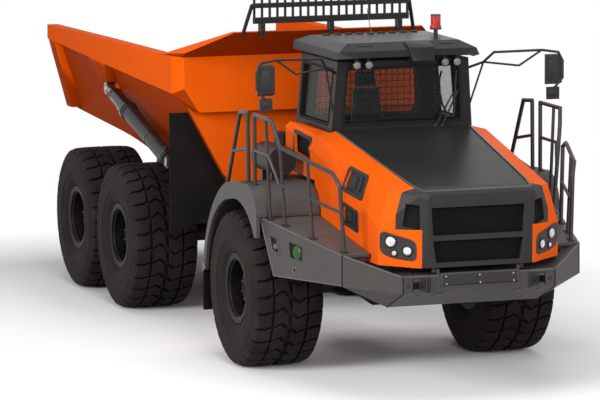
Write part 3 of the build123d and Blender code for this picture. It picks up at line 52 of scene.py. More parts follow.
CAMERA_LENS, CAMERA_SENSOR, CAMERA_REACH = 252.0, 36.0, 500.0

camera = bpy.data.objects.new("camera", bpy.data.cameras.new("camera"))
camera.data.lens = CAMERA_LENS
camera.data.sensor_width = CAMERA_SENSOR
camera.data.clip_end = CAMERA_REACH
camera.matrix_world = (Matrix.Translation(CAMERA_PLACE)
                       @ Matrix.Rotation(CAMERA_PAN - pi / 2, 4, "Z")
                       @ Matrix.Rotation(pi / 2 + CAMERA_TILT, 4, "X")
                       @ Matrix.Rotation(CAMERA_ROLL, 4, "Z"))
bpy.context.collection.objects.link(camera)
bpy.context.scene.camera = camera
bpy.context.scene.view_settings.view_transform = "Standard"

# --- The studio ---------------------------------------------------------------------------------
# A white floor that fades into a white room, under four soft boxes: overhead, in front, on the
# machine's right and at its left front. Paint and glass reflect the even room.
FLOOR_HALF, FLOOR_GREY, WHITE = 220.0, (0.45, 0.45, 0.45), (1.0, 1.0, 1.0)
FADE_NEAR, FADE_FAR = 0.5, 3.2  # distance from the machine over which the floor turns white
ORIGIN, FOOTPRINT_HALF = (0.0, 0.0, 0.0), (5.0, 1.6, 0.0)
ROOM_LEVEL = 0.25
SOFT_BOXES = [("top_box", (4.0, 0.0, 15.0), 12.0, 900.0),  # name, place, size, power
              ("front_box", (24.0, -3.0, 8.0), 9.0, 2500.0),
              ("right_box", (9.0, -18.0, 9.0), 9.0, 3400.0),
              ("left_box", (12.0, 15.0, 8.0), 8.0, 650.0)]
STUDIO_AIM = (0.0, 0.0, 1.5)


class Level:
    """A number, colour or vector that varies over a surface. Sums on it add Math nodes."""

    def __init__(self, finish, socket):
        self.finish, self.socket = finish, socket

    def math(self, operation, first, second=0.0):
        return self.finish.node("Math", {"operation": operation}, {0: first, 1: second})

    def __add__(self, other):
        return self.math("ADD", self, other)

    def __sub__(self, other):
        return self.math("SUBTRACT", self, other)

    def __rsub__(self, other):
        return self.math("SUBTRACT", other, self)

    def __mul__(self, other):
        return self.math("MULTIPLY", self, other)

    def __gt__(self, other):
        return self.math("GREATER_THAN", self, other)

    def __lt__(self, other):
        return self.math("LESS_THAN", self, other)

    def __abs__(self):
        return self.finish.node("Math", {"operation": "ABSOLUTE"}, {0: self})

    __radd__, __rmul__ = __add__, __mul__


class Finish:
    """One surface finish: a material or a world, its shader and the nodes that vary it."""

    def __init__(self, name, shader="BsdfPrincipled", kind="Material", **sockets):
        self.material = (bpy.data.worlds if kind == "World" else bpy.data.materials).new(name)
        self.material.use_nodes = True
        self.tree = self.material.node_tree
        self.tree.nodes.clear()
        self.end = self.tree.nodes.new("ShaderNodeOutput" + kind)
        self.shader = self.tree.nodes.new("ShaderNode" + shader)
        self.look = Level(self, self.shader.outputs[0])
        self.surface(self.look)
        self.set(**sockets)

    def surface(self, level):
        self.tree.links.new(level.socket, self.end.inputs["Surface"])

    def feed(self, socket, value):
        if isinstance(value, Level):
            self.tree.links.new(value.socket, socket)
        elif socket.type == "RGBA" and len(value) == 3:
            socket.default_value = (*value, 1.0)
        else:
            socket.default_value = value

    def set(self, **sockets):
        """Values or links of the shader's own sockets: base_color feeds Base Color."""
        for name, value in sockets.items():
            self.feed(self.shader.inputs[name.replace("_", " ").title().replace("Ior", "IOR")], value)

    def node(self, kind, settings=(), sockets=(), output=0):
        """A node of that kind, with its settings made before its sockets are fed."""
        made = self.tree.nodes.new("ShaderNode" + kind)
        for name, value in dict(settings).items():
            setattr(made, name, value)
        for name, value in dict(sockets).items():
            self.feed(made.inputs[name], value)
        return Level(self, made.outputs[output])

    def place(self):
        return self.node("TexCoord", output="Object")

    def axes(self, vector):
        return [self.node("SeparateXYZ", (), {0: vector}, output=n) for n in range(3)]

    def wave(self, along, pitch):
        """A sine that repeats once in every pitch."""
        return self.node("Math", {"operation": "SINE"}, {0: along * (2 * pi / pitch)})

    def noise(self, place, scale, detail=3.0, roughness=0.55):
        return self.node("TexNoise", (), {"Vector": place, "Scale": scale, "Detail": detail,
                                          "Roughness": roughness})

    def ramp(self, value, low, high, out_low=0.0, out_high=1.0):
        return self.node("MapRange", {"clamp": True}, {"Value": value, 1: low, 2: high,
                                                       3: out_low, 4: out_high})

    def mix(self, factor, first, second):
        return self.node("Mix", {"data_type": "RGBA"}, {0: factor, 6: first, 7: second}, output=2)

    def tone(self, value, low, high, first, second):
        """The base colour goes from the first to the second as the value goes from low to high."""
        self.set(base_color=self.mix(self.ramp(value, low, high), first, second))

    def blend(self, factor, first, second):
        return self.node("MixShader", (), {0: factor, 1: first, 2: second})

    def bump(self, height, distance, strength=1.0, normal=None):
        sockets = {"Height": height, "Distance": distance, "Strength": strength}
        if normal is not None:
            sockets["Normal"] = normal
        return self.node("Bump", (), sockets)

    def corners(self, radius):
        """The normal with softened edges, and how far it leans: 0 on a face, more at an edge."""
        soft = self.node("Bevel", {"samples": 4}, {"Radius": radius})
        flat = self.node("NewGeometry", output="Normal")
        return soft, 1.0 - self.node("VectorMath", {"operation": "DOT_PRODUCT"}, {0: soft, 1: flat},
                                     output="Value")

    def seen(self):
        """1 for what the camera sees, straight, mirrored or through glass, and 0 for light."""
        rays = ("Is Camera Ray", "Is Glossy Ray", "Is Transmission Ray")
        return self.ramp(sum(self.node("LightPath", output=ray) for ray in rays), 0.0, 1.0)


def shown(name, mesh):
    """Makes the mesh an object of the scene."""
    data = bpy.data.meshes.new(name)
    mesh.to_mesh(data)
    mesh.free()
    made = bpy.data.objects.new(name, data)
    bpy.context.collection.objects.link(made)
    return made


floor_mesh = bmesh.new()
bmesh.ops.create_grid(floor_mesh, x_segments=1, y_segments=1, size=FLOOR_HALF)
studio_floor = shown("studio_floor", floor_mesh)

studio_white = Finish("studio_white", "BsdfDiffuse", color=FLOOR_GREY)
away = studio_white.place()
for operation, other in (("ABSOLUTE", ORIGIN), ("SUBTRACT", FOOTPRINT_HALF), ("MAXIMUM", ORIGIN)):
    away = studio_white.node("VectorMath", {"operation": operation}, {0: away, 1: other})
away = studio_white.node("VectorMath", {"operation": "LENGTH"}, {0: away}, output="Value")
fading = studio_white.blend(studio_white.ramp(away, FADE_NEAR, FADE_FAR),
                            studio_white.node("BsdfDiffuse", (), {"Color": WHITE}),
                            studio_white.node("Emission", (), {"Color": WHITE}))
studio_white.surface(studio_white.blend(studio_white.seen(), studio_white.look, fading))
studio_floor.data.materials.append(studio_white.material)

room = Finish("studio_room", "Background", "World", strength=ROOM_LEVEL)
room.surface(room.blend(room.seen(), room.look, room.node("Background", (), {"Color": WHITE})))
bpy.context.scene.world = room.material

for name, place, size, power in SOFT_BOXES:
    lamp = bpy.data.objects.new(name, bpy.data.lights.new(name, "AREA"))
    lamp.data.shape = "SQUARE"
    lamp.data.size = size
    lamp.data.energy = power
    aim = (Vector(place) - Vector(STUDIO_AIM)).to_track_quat("Z", "Y").to_matrix().to_4x4()
    lamp.matrix_world = Matrix.Translation(place) @ aim
    bpy.context.collection.objects.link(lamp)

# --- Painted steel ------------------------------------------------------------------------------
# Every panel is welded steel plate, primed and baked with two coats of enamel. The colour
# coat varies a little, the gloss has orange peel, and edges catch the light or rub through.
EDGE_R, DUST = 0.006, (0.24, 0.21, 0.18)


def enamel(name, colour, worn, roughness, gloss=0.2, metallic=0.0, dust=0.25):
    """A coat of enamel with mottling, orange peel, thin dust low down and rubbed edges."""
    finish = Finish(name, metallic=metallic, specular_ior_level=gloss)
    place = finish.place()
    height = finish.axes(place)[2]
    mottle = finish.noise(place, 1.3, 4.0)
    speck = finish.noise(place, 38.0, 2.0)
    finish.soft, corner = finish.corners(EDGE_R)
    rubbed = finish.ramp(corner * (0.5 + speck), 0.03, 0.16)
    low = finish.ramp(height + mottle * 0.9, 2.3, 0.5)
    dusty = low * finish.ramp(speck + mottle, 0.8, 1.25) * dust
    tint = finish.mix(finish.ramp(mottle, 0.35, 0.65), [c * 0.93 for c in colour], colour)
    tint = finish.mix(dusty, tint, DUST)
    finish.tint = finish.mix(rubbed * 0.55, tint, worn)
    shine = finish.ramp(mottle + speck, 0.7, 1.3, roughness - 0.03, roughness + 0.05)
    finish.set(base_color=finish.tint, roughness=shine + dusty * 0.35,
               normal=finish.bump(finish.noise(place, 130.0, 1.0), 0.0006, 0.35, finish.soft))
    return finish


def repaint(finish, *names):
    """These CAD pieces take the finish in every slot."""
    for name in names:
        slots = nodes[name].data.materials
        for number in range(len(slots)):
            slots[number] = finish.material
        if not slots:
            slots.append(finish.material)


ORANGE, ORANGE_WORN = (0.82, 0.105, 0.004), (0.90, 0.25, 0.06)
repaint(enamel("orange_enamel", ORANGE, ORANGE_WORN, 0.34, gloss=0.02), "hood_sides", "cowl_right")
# The bin's paint is duller, and a painted brown shade darkens the plates that face down, standing for the
# shade that falls under them.
PAINTED_SHADE_BROWN, PAINTED_SHADE_FULL = (0.20, 0.018, 0.002), 0.72
bin_enamel = enamel("bin_enamel", ORANGE, ORANGE_WORN, 0.42, gloss=0.004, dust=0.06)
faces_up = bin_enamel.axes(bin_enamel.node("TexCoord", output="Normal"))[2]
# painted shade: the colour turns darker as the face turns downwards
film = bin_enamel.ramp(faces_up, -0.03, -0.12, 0.0, PAINTED_SHADE_FULL)
bin_enamel.set(base_color=bin_enamel.mix(film, bin_enamel.tint, PAINTED_SHADE_BROWN))
repaint(bin_enamel, "bin_side_left", "bin_side_right", "bin_front_wall")

CHARCOAL, CHARCOAL_WORN = (0.020, 0.019, 0.019), (0.075, 0.073, 0.070)
charcoal_enamel = enamel("charcoal_enamel", CHARCOAL, CHARCOAL_WORN, 0.30, gloss=0.10)
repaint(charcoal_enamel, "hood_top", "cab_body", "cab_roof", "cab_door", "air_cleaner")

GREY, GREY_WORN = (0.058, 0.054, 0.051), (0.16, 0.155, 0.15)
grey_enamel = enamel("grey_enamel", GREY, GREY_WORN, 0.45)
repaint(grey_enamel, "front_fenders")

BLACK_STEEL, BLACK_WORN = (0.010, 0.0095, 0.009), (0.08, 0.078, 0.075)
frame_enamel = enamel("frame_enamel", BLACK_STEEL, BLACK_WORN, 0.45)
repaint(frame_enamel, "front_frame", "rear_frame", "hoist_feet", "artic_hitch", "walking_beams",
        "front_suspension", "bin_guard")
rail_enamel = enamel("rail_enamel", (0.026, 0.0225, 0.0215), BLACK_WORN, 0.34, gloss=0.35)
repaint(rail_enamel, "handrails_left", "handrails_right")

# --- Tyres --------------------------------------------------------------------------------------
# Wide radial earthmover tyres, moulded of black rubber on steel belts and seated on their rims by
# air. Each has a smooth wall with moulded rings, and four rows of deep blocks: two at the
# shoulders, two nested down the middle.
PITCHES = 29  # blocks round each row
TREAD_DEPTH, TREAD_TUCK = 0.036, 1.05  # the tuck is how far the blocks reach into the case
BLOCK_BEVEL, BLOCK_CUTS = 0.005, (-0.12, 0.2)
WALL_SEGMENTS = PITCHES * 4
AXLE_LINE = Vector((0.0, 1.0, 0.0))
# distance outboard of the wheel's middle, and drop below the full radius, of the crown's line
CROWN = [(0.0, 0.0), (0.20, 0.002), (0.30, 0.010), (0.342, 0.026), (0.361, 0.060), (0.3735, 0.120)]
# outboard distance, and share of the wall's height above the rim, from the shoulder to the bead
WALL = [(0.3335, 0.975), (0.3560, 0.915), (0.3670, 0.860), (0.3700, 0.770), (0.3755, 0.760),
        (0.3765, 0.735), (0.3725, 0.725), (0.3760, 0.640), (0.3768, 0.520), (0.3730, 0.400),
        (0.3745, 0.392), (0.3735, 0.366), (0.3690, 0.360), (0.3600, 0.250), (0.3480, 0.160),
        (0.3500, 0.150), (0.3470, 0.118), (0.3400, 0.105), (0.3260, 0.030), (0.3000, 0.004)]
BEAD_LINE = [(0.2997, -0.09), (0.2520, -0.09), (0.3150, 0.45), (0.2900, 0.80), (0.0, 0.84)]
# corners of one block of each row: outboard distance, and pitches round the tyre
SHOULDER_BLOCK = [(0.3735, -0.44), (0.262, -0.43), (0.222, -0.34), (0.199, -0.30),
                  (0.190, 0.55), (0.212, 0.53), (0.250, 0.41), (0.3735, 0.40)]
MIDDLE_BLOCK = [(0.168, -0.36), (0.088, -0.06), (0.014, -0.30),
                (0.026, 0.44), (0.094, 0.78), (0.176, 0.48)]
ROWS = [(SHOULDER_BLOCK, (0.30, 0.342, 0.361)), (MIDDLE_BLOCK, (0.10,))]  # and where each is cut


def crown_point(outboard, depth):
    """(distance outboard, radius below full) of a point that deep under the crown's line."""
    for (a0, d0), (a1, d1) in zip(CROWN, CROWN[1:]):
        if outboard <= a1 or a1 == CROWN[-1][0]:
            run, fall = a1 - a0, d1 - d0
            drop = d0 + fall * (outboard - a0) / run
            length = hypot(run, fall)
            return outboard - depth * fall / length, drop + depth * run / length


def raise_faces(mesh, faces, tall):
    """Draws flat faces up into a solid, and returns the corners of its top."""
    made = bmesh.ops.extrude_face_region(mesh, geom=faces)["geom"]
    top = [v for v in made if isinstance(v, bmesh.types.BMVert)]
    bmesh.ops.translate(mesh, verts=top, vec=(0, 0, tall))
    bmesh.ops.recalc_face_normals(mesh, faces=mesh.faces)
    return top


def bevel(mesh, chosen, width, steps, clamp=True, affect="EDGES"):
    """Rounds the chosen edges, or corners, of the mesh."""
    bmesh.ops.bevel(mesh, geom=chosen, offset=width, offset_type="OFFSET", segments=steps, profile=0.5,
                    affect=affect, material=-1, clamp_overlap=clamp)


def tread_block(corners, cuts, radius):
    """One block: its outline drawn flat, raised, cut to follow the crown, and bent round."""
    pitch = 2 * pi * radius / PITCHES
    block = bmesh.new()
    face = block.faces.new([block.verts.new((a, u * pitch, 0.0)) for a, u in corners])
    top = raise_faces(block, [face], TREAD_DEPTH)
    bevel(block, [e for e in block.edges if all(v in top for v in e.verts)], BLOCK_BEVEL, 1, clamp=False)
    planes = [((a, 0, 0), (1, 0, 0)) for a in cuts] + [((0, u * pitch, 0), (0, 1, 0)) for u in BLOCK_CUTS]
    for point, normal in planes:
        bmesh.ops.bisect_plane(block, geom=[*block.verts, *block.edges, *block.faces],
                               plane_co=point, plane_no=normal)
    for v in block.verts:
        a, drop = crown_point(v.co.x, TREAD_DEPTH * TREAD_TUCK - v.co.z)
        turn, r = v.co.y / radius, radius - drop
        v.co = (r * sin(turn), a, r * cos(turn))
    bmesh.ops.recalc_face_normals(block, faces=block.faces)
    return block


def lathe(mesh, line, segments, closed=False):
    """Turns a line of (distance along the axle, radius) about the axle."""
    points = [mesh.verts.new((0.0, a, r)) for a, r in line]
    pairs = list(zip(points, points[1:])) + ([(points[-1], points[0])] if closed else [])
    edges = [mesh.edges.new(pair) for pair in pairs]
    bmesh.ops.spin(mesh, geom=points + edges, cent=(0, 0, 0), axis=AXLE_LINE, angle=2 * pi,
                   steps=segments, use_merge=True)
    if closed:
        bmesh.ops.recalc_face_normals(mesh, faces=mesh.faces)


def put(name, mesh, finish, body, sharp=32.0):
    """Makes the finished mesh a piece that rides on its body."""
    made = shown(name, mesh)
    made.data.shade_smooth()
    made.data.set_sharp_from_angle(angle=radians(sharp))
    made.data.materials.append(finish.material)
    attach(made, body)
    return made


def added(mesh, other, matrix=Matrix()):
    """Copies the other mesh into this one, moved by the matrix."""
    data = bpy.data.meshes.new("part")
    other.to_mesh(data)
    data.transform(matrix)
    mesh.from_mesh(data)
    bpy.data.meshes.remove(data)


rubber = Finish("tyre_rubber", specular_ior_level=0.15)
RUBBER, RUBBER_DUSTY, RUBBER_PAINTED_SHADE = (0.0095, 0.0068, 0.0062), (0.028, 0.020, 0.018), (0.0020, 0.0015, 0.0015)
place = rubber.place()
cloud, grain = rubber.noise(place, 3.0, 5.0), rubber.noise(place, 160.0, 2.0)
# Painted shade: ambient occlusion darkens the rubber's colour in the tread's grooves and corners.
painted_groove_shade = rubber.node("AmbientOcclusion", {"samples": 4, "only_local": True}, {"Distance": 0.05}, output="AO")
tint = rubber.mix(rubber.ramp(cloud, 0.4, 0.75), RUBBER, RUBBER_DUSTY)
rubber.set(base_color=rubber.mix(rubber.ramp(painted_groove_shade, 0.75, 0.35), tint, RUBBER_PAINTED_SHADE),
           roughness=rubber.ramp(cloud + grain * 0.3, 0.4, 0.9, 0.72, 0.9),
           normal=rubber.bump(grain, 0.001, 0.4))

TYRE_INSIDE = 0.0006  # how far the treads stay inside the CAD tyre
tyre_low, tyre_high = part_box("tyre_front_right")
tyre_r = (tyre_high[2] - tyre_low[2]) / 2 - TYRE_INSIDE
rim_low, rim_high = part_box("rim_front_right")
flange_r = (rim_high[2] - rim_low[2]) / 2
case_r = tyre_r - TREAD_DEPTH
tyre = bmesh.new()
half = [(a, case_r - drop) for a, drop in CROWN[:4]]
half += [(a, flange_r + (case_r - flange_r) * share) for a, share in WALL + BEAD_LINE]
lathe(tyre, half + [(-a, r) for a, r in reversed(half[1:-1])], WALL_SEGMENTS, closed=True)
row = bmesh.new()
for corners, cuts in ROWS:
    block = tread_block(corners, cuts, tyre_r)
    added(row, block)
    added(row, block, Matrix.Rotation(pi, 4, "Z"))
    block.free()
bmesh.ops.spin(row, geom=[*row.verts, *row.edges, *row.faces], cent=(0, 0, 0), axis=AXLE_LINE,
               angle=2 * pi * (PITCHES - 1) / PITCHES, steps=PITCHES - 1, use_duplicate=True)
added(tyre, row)
row.free()

WHEEL_TURN = 0.37  # each wheel stands a little further round than the one before
wheels = [f"{axle}_{side}" for axle in ("front", "middle", "rear") for side in ("left", "right")]
wheel_stands = {}
for number, wheel in enumerate(wheels):
    low, high = (Vector(c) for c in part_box(f"tyre_{wheel}"))
    stand = Matrix.Translation((low + high) / 2) @ Matrix.Rotation(WHEEL_TURN * number, 4, "Y")
    if wheel.endswith("right"):
        stand = stand @ Matrix.Rotation(pi, 4, "Z")
    wheel_stands[wheel] = stand
    one = tyre.copy()
    bmesh.ops.transform(one, matrix=stand, verts=one.verts)
    treaded = put(f"treaded_tyre_{wheel}", one, rubber, f"wheel_{wheel}")
    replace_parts(treaded, f"tyre_{wheel}")
tyre.free()

# --- Wheel rims ---------------------------------------------------------------------------------
# Five-piece steel rims with a sprung lock ring, deep-dished, bolted by a ring of nuts to the
# hub drum. The drum's cover plate holds the planet gears and is bolted on its outboard face.
RIM_SHADE, RIM_WORN = (0.0040, 0.0038, 0.0036), (0.10, 0.096, 0.092)
rim_enamel = enamel("rim_enamel", RIM_SHADE, RIM_WORN, 0.40, gloss=0.10, dust=0.06)
repaint(rim_enamel, *[f"rim_{wheel}" for wheel in wheels])

bright_steel = Finish("bright_steel", metallic=1.0)
spot = bright_steel.noise(bright_steel.place(), 60.0, 3.0)
bright_steel.set(base_color=bright_steel.mix(spot, (0.30, 0.29, 0.28), (0.52, 0.51, 0.50)),
                 roughness=bright_steel.ramp(spot, 0.3, 0.7, 0.28, 0.45))

# outboard faces, from the wheel's middle: the rim's flange, its disc, the hub drum and its cover
FLANGE, DISC, HUB, NOSE = 0.320, -0.030, 0.170, 0.215
# lines of (outboard distance, radius) of the lock ring and of the rings round the three bolt circles
LOCK_RING = [(FLANGE, 0.360), (FLANGE + 0.006, 0.358), (FLANGE + 0.008, 0.350), (FLANGE + 0.004, 0.335),
             (FLANGE + 0.006, 0.328), (FLANGE + 0.002, 0.318), (FLANGE, 0.301), (0.300, 0.2995),
             (0.290, 0.290), (0.180, 0.286), (0.165, 0.2995), (0.160, 0.310), (0.310, 0.340)]
DISC_RING = [(DISC, 0.2005), (DISC + 0.022, 0.2005), (DISC + 0.026, 0.206), (DISC + 0.026, 0.262),
             (DISC + 0.020, 0.270), (DISC, 0.272)]
HUB_RING = [(HUB - 0.030, 0.2005), (HUB - 0.028, 0.2065), (HUB - 0.006, 0.2065), (HUB + 0.003, 0.200),
            (HUB + 0.003, 0.158), (HUB - 0.001, 0.154), (HUB - 0.001, 0.199)]
NOSE_RING = [(NOSE + 0.0005, 0.118), (NOSE + 0.006, 0.114), (NOSE + 0.006, 0.050), (NOSE + 0.012, 0.046),
             (NOSE + 0.012, 0.030), (NOSE + 0.0005, 0.026)]
# count, radius of the circle, outboard distance and size of the nuts of each bolt circle
BOLT_CIRCLES = [(20, 0.236, DISC + 0.026, 0.014), (16, 0.178, HUB + 0.003, 0.010), (8, 0.134, NOSE, 0.008)]
VALVE_PLACE, VALVE_LEAN, VALVE_R, VALVE_LONG = (0.0, 0.270, 0.2875), pi / 2.3, 0.006, 0.05


def nut(mesh, centre, axis, radius, height, washer=1.35):
    """A hexagon head on its washer, standing on a surface."""
    stand = Matrix.Translation(centre) @ Vector(axis).to_track_quat("Z", "Y").to_matrix().to_4x4()
    for sides, r, top, low, tall in (
            (12, radius * washer, radius * washer * 0.97, 0.0, height * 0.22),
            (6, radius, radius * 0.9, height * 0.2, height * 0.8)):
        bmesh.ops.create_cone(mesh, cap_ends=True, segments=sides, radius1=r, radius2=top, depth=tall,
                              matrix=stand @ Matrix.Translation((0, 0, low + tall / 2)))


def on_circle(count, start=0.0):
    """The cosine and sine of so many even turns."""
    turns = [2 * pi * (k + start) / count for k in range(count)]
    return [(cos(turn), sin(turn)) for turn in turns]


lips, rings, nuts = bmesh.new(), bmesh.new(), bmesh.new()
lathe(lips, LOCK_RING, 96, closed=True)
for line, steps in ((DISC_RING, 72), (HUB_RING, 72), (NOSE_RING, 48)):
    lathe(rings, line, steps, closed=True)
for count, r, at, size in BOLT_CIRCLES:
    for u, v in on_circle(count):
        nut(nuts, (r * u, at, r * v), AXLE_LINE, size, size * 1.3)
bmesh.ops.create_cone(nuts, cap_ends=True, segments=12, radius1=VALVE_R, radius2=VALVE_R, depth=VALVE_LONG,
                      matrix=Matrix.Translation(VALVE_PLACE) @ Matrix.Rotation(VALVE_LEAN, 4, "X"))
for wheel in wheels:
    for name, source, finish in (("rim_lock_ring", lips, rim_enamel), ("hub_rings", rings, rim_enamel),
                                 ("wheel_nuts", nuts, bright_steel)):
        one = source.copy()
        bmesh.ops.transform(one, matrix=wheel_stands[wheel], verts=one.verts)
        put(f"{name}_{wheel}", one, finish, f"wheel_{wheel}")
for mesh in (lips, rings, nuts):
    mesh.free()

# --- Hood and grille ----------------------------------------------------------------------------
# The hood's sides and top are moulded panels on one frame. The grille is a thick satin moulding
# with four openings, each backed by welded wire in front of a perforated dust screen.
AHEAD, LEFT, UP = (1, 0, 0), (0, 1, 0), (0, 0, 1)
MOULDING, MOULDING_WORN = (0.0175, 0.0155, 0.0150), (0.044, 0.041, 0.039)
MOULDING_EDGE_R = 0.008


def moulded(name, colour, worn, roughness, gloss=0.25, stipple=220.0):
    """Moulded plastic: a fine stipple, faint flow marks and edges worn paler."""
    finish = Finish(name, specular_ior_level=gloss)
    place = finish.place()
    flow, grain = finish.noise(place, 4.0, 3.0), finish.noise(place, stipple, 1.0)
    soft, corner = finish.corners(MOULDING_EDGE_R)
    tint = finish.mix(finish.ramp(flow, 0.3, 0.7), [c * 0.85 for c in colour], colour)
    tint = finish.mix(finish.ramp(corner * (grain + 0.6), 0.04, 0.2) * 0.6, tint, worn)
    finish.set(base_color=tint, normal=finish.bump(grain, 0.0005, 0.5, soft),
               roughness=finish.ramp(flow + grain * 0.4, 0.4, 0.95, roughness - 0.05, roughness + 0.07))
    return finish


grille_moulding = moulded("grille_moulding", MOULDING, MOULDING_WORN, 0.48)
repaint(grille_moulding, "grille", "dashboard", "mirrors")

skins = {}


def touch(name, start, aim):
    """Where a line from start along aim meets that CAD piece, and the way its skin faces there."""
    if name not in skins:
        data = nodes[name].data
        skins[name] = BVHTree.FromPolygons([v.co for v in data.vertices], [p.vertices for p in data.polygons])
    return skins[name].ray_cast(Vector(start), Vector(aim))[:2]


def facing(origin, normal, up=UP):
    """The stand of a flat detail: its Z looks along normal and its Y points up."""
    n = Vector(normal).normalized()
    right = Vector(up).cross(n).normalized()
    return Matrix.Translation(origin) @ Matrix((right, n.cross(right), n)).transposed().to_4x4()


def on_side(s, points):
    """Points given by X, |y| and z, on the machine's left (1) or right (-1)."""
    return [Vector((x, s * y, z)) for x, y, z in points]


def rect(half_w, half_h, u=0.0, v=0.0):
    """The outline of a rectangle about a point."""
    return [(u - half_w, v - half_h), (u + half_w, v - half_h),
            (u + half_w, v + half_h), (u - half_w, v + half_h)]


def anticlockwise(corners):
    """The corners of an outline in the order that turns its face up."""
    turned = sum(a[0] * b[1] - b[0] * a[1] for a, b in zip(corners, corners[1:] + corners[:1]))
    return corners if turned > 0 else corners[::-1]


def placed(mesh, made, stand):
    """Adds the made detail at its stand and frees it."""
    added(mesh, made, stand)
    made.free()


def slab(mesh, stand, corners, thick, rounding=0.0, edge=0.0, rim=0.0, sunk=0.0, low=0.0, steps=3):
    """A plate drawn flat with rounded corners and a soft front edge, sunk inside its rim."""
    hair = 1e-6
    made = bmesh.new()
    face = made.faces.new([made.verts.new((u, v, low)) for u, v in anticlockwise(corners)])
    raise_faces(made, [face], thick - low)
    if rounding:
        bevel(made, [e for e in made.edges if abs(e.verts[0].co.z - e.verts[1].co.z) > hair], rounding, steps)
    if edge:
        bevel(made, [e for e in made.edges if all(v.co.z > thick - hair for v in e.verts)], edge, 2)
    if rim:
        made.faces.ensure_lookup_table()
        lid = max((f for f in made.faces if f.normal.z > 0.9), key=lambda f: f.calc_area())
        for width in (rim, 0.002):
            bmesh.ops.inset_region(made, faces=[lid], thickness=width, use_even_offset=True)
        bmesh.ops.translate(made, verts=lid.verts, vec=(0, 0, -sunk))
    placed(mesh, made, stand)


def bar(mesh, first, last, radius, sides=6, end_radius=None):
    """A straight round bar between two points."""
    first, last = Vector(first), Vector(last)
    along = (last - first).to_track_quat("Z", "Y").to_matrix().to_4x4()
    bmesh.ops.create_cone(mesh, cap_ends=True, segments=sides, radius1=radius,
                          radius2=radius if end_radius is None else end_radius,
                          depth=(last - first).length, matrix=Matrix.Translation((first + last) / 2) @ along)


def bars(mesh, points, radius, sides=8):
    """A round bar through the points, one after another."""
    for first, last in zip(points, points[1:]):
        bar(mesh, first, last, radius, sides)


WIRE_R, WIRE_PITCH, WIRE_SIDES = 0.0022, 0.022, 5
WIRE_DEPTH, SCREEN_DEPTH = 0.052, 0.082  # from the grille's face back to the wires, and to the screen
SCREEN_THICK, SCREEN_ROUNDING, SCREEN_MARGIN = 0.006, 0.01, 0.02
# half width at the top and at the foot, and height of the top and the foot, of the two openings
OPENINGS = [(0.486, 0.471, 1.913, 1.636), (0.471, 0.440, 1.588, 1.370)]
# X, |y| and z of the corners of the opening that wraps round each side of the grille
CORNER_OPENING = [(4.940, 0.560, 1.938), (4.885, 0.690, 1.950), (4.890, 0.735, 1.735), (4.965, 0.575, 1.690)]
CORNER_DEPTH, CORNER_GROWTH = 0.026, 1.10
grille_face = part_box("grille")[1][0]
wire_x = grille_face - WIRE_DEPTH
wires, screens = bmesh.new(), bmesh.new()
for top_w, foot_w, top, foot in OPENINGS:
    rows = int((top - foot) / WIRE_PITCH)
    for k in range(1, rows):
        w = foot_w + (top_w - foot_w) * k / rows
        z = foot + (top - foot) * k / rows
        bar(wires, (wire_x, -w, z), (wire_x, w, z), WIRE_R, WIRE_SIDES)
    columns = int(2 * foot_w / WIRE_PITCH)
    for k in range(1, columns):
        y = -foot_w + 2 * foot_w * k / columns
        bar(wires, (wire_x - WIRE_R, y, foot), (wire_x - WIRE_R, y, top), WIRE_R, WIRE_SIDES)
    m = SCREEN_MARGIN
    outline = [(-top_w - m, top + m), (-foot_w - m, foot - m), (foot_w + m, foot - m), (top_w + m, top + m)]
    slab(screens, facing((grille_face - SCREEN_DEPTH, 0, 0), AHEAD), outline, SCREEN_THICK, SCREEN_ROUNDING)
for s in (1, -1):
    corners = on_side(s, CORNER_OPENING)
    out = (corners[1] - corners[0]).cross(corners[3] - corners[0]).normalized()
    out = out if out.x > 0 else -out
    stand = facing(sum(corners, Vector()) / 4 - out * CORNER_DEPTH, out)
    flat = [tuple((stand.inverted() @ c).to_2d() * CORNER_GROWTH) for c in corners]
    slab(screens, stand, flat, 0.005, SCREEN_ROUNDING)

HOLE_PITCH = 0.012
screen_black = Finish("dust_screen", roughness=0.7, specular_ior_level=0.1)
x, y, z = screen_black.axes(screen_black.place())
hole = (screen_black.wave(y, HOLE_PITCH) * screen_black.wave(z, HOLE_PITCH)) > 0.1
screen_black.set(base_color=screen_black.mix(hole, (0.012, 0.012, 0.012), (0.0015, 0.0015, 0.0015)),
                 normal=screen_black.bump(1.0 - hole, 0.001, 0.6))
put("grille_wires", wires, screen_black, "hood")
put("grille_screens", screens, screen_black, "hood")

# --- Headlamps ----------------------------------------------------------------------------------
# Each front corner carries a dark moulded pod with three round lamps: a large one high and
# outside, a medium one low and inside, and a small one between them, each under a clear lens.
# along the facet from its rear edge, and height, of the pod's corners
POD_OUTLINE = [(0.012, 1.470), (0.130, 1.420), (0.378, 1.392), (0.378, 1.590), (0.012, 1.690)]
# X, |y|, z and radius of each lamp, which stand LAMP_PROUD of the facet
LAMPS = [(4.8346, 0.8364, 1.581, 0.058), (4.9293, 0.6996, 1.494, 0.050), (4.855, 0.8067, 1.470, 0.030)]
LAMP_PROUD, RING_OUTER, RING_INNER, RING_TALL, LENS_DEPTH = 0.009, 0.006, 0.80, 0.012, 0.014
FACET_REAR, FACET_ALONG = (4.765, 0.937), (0.567, -0.824)  # X and |y|

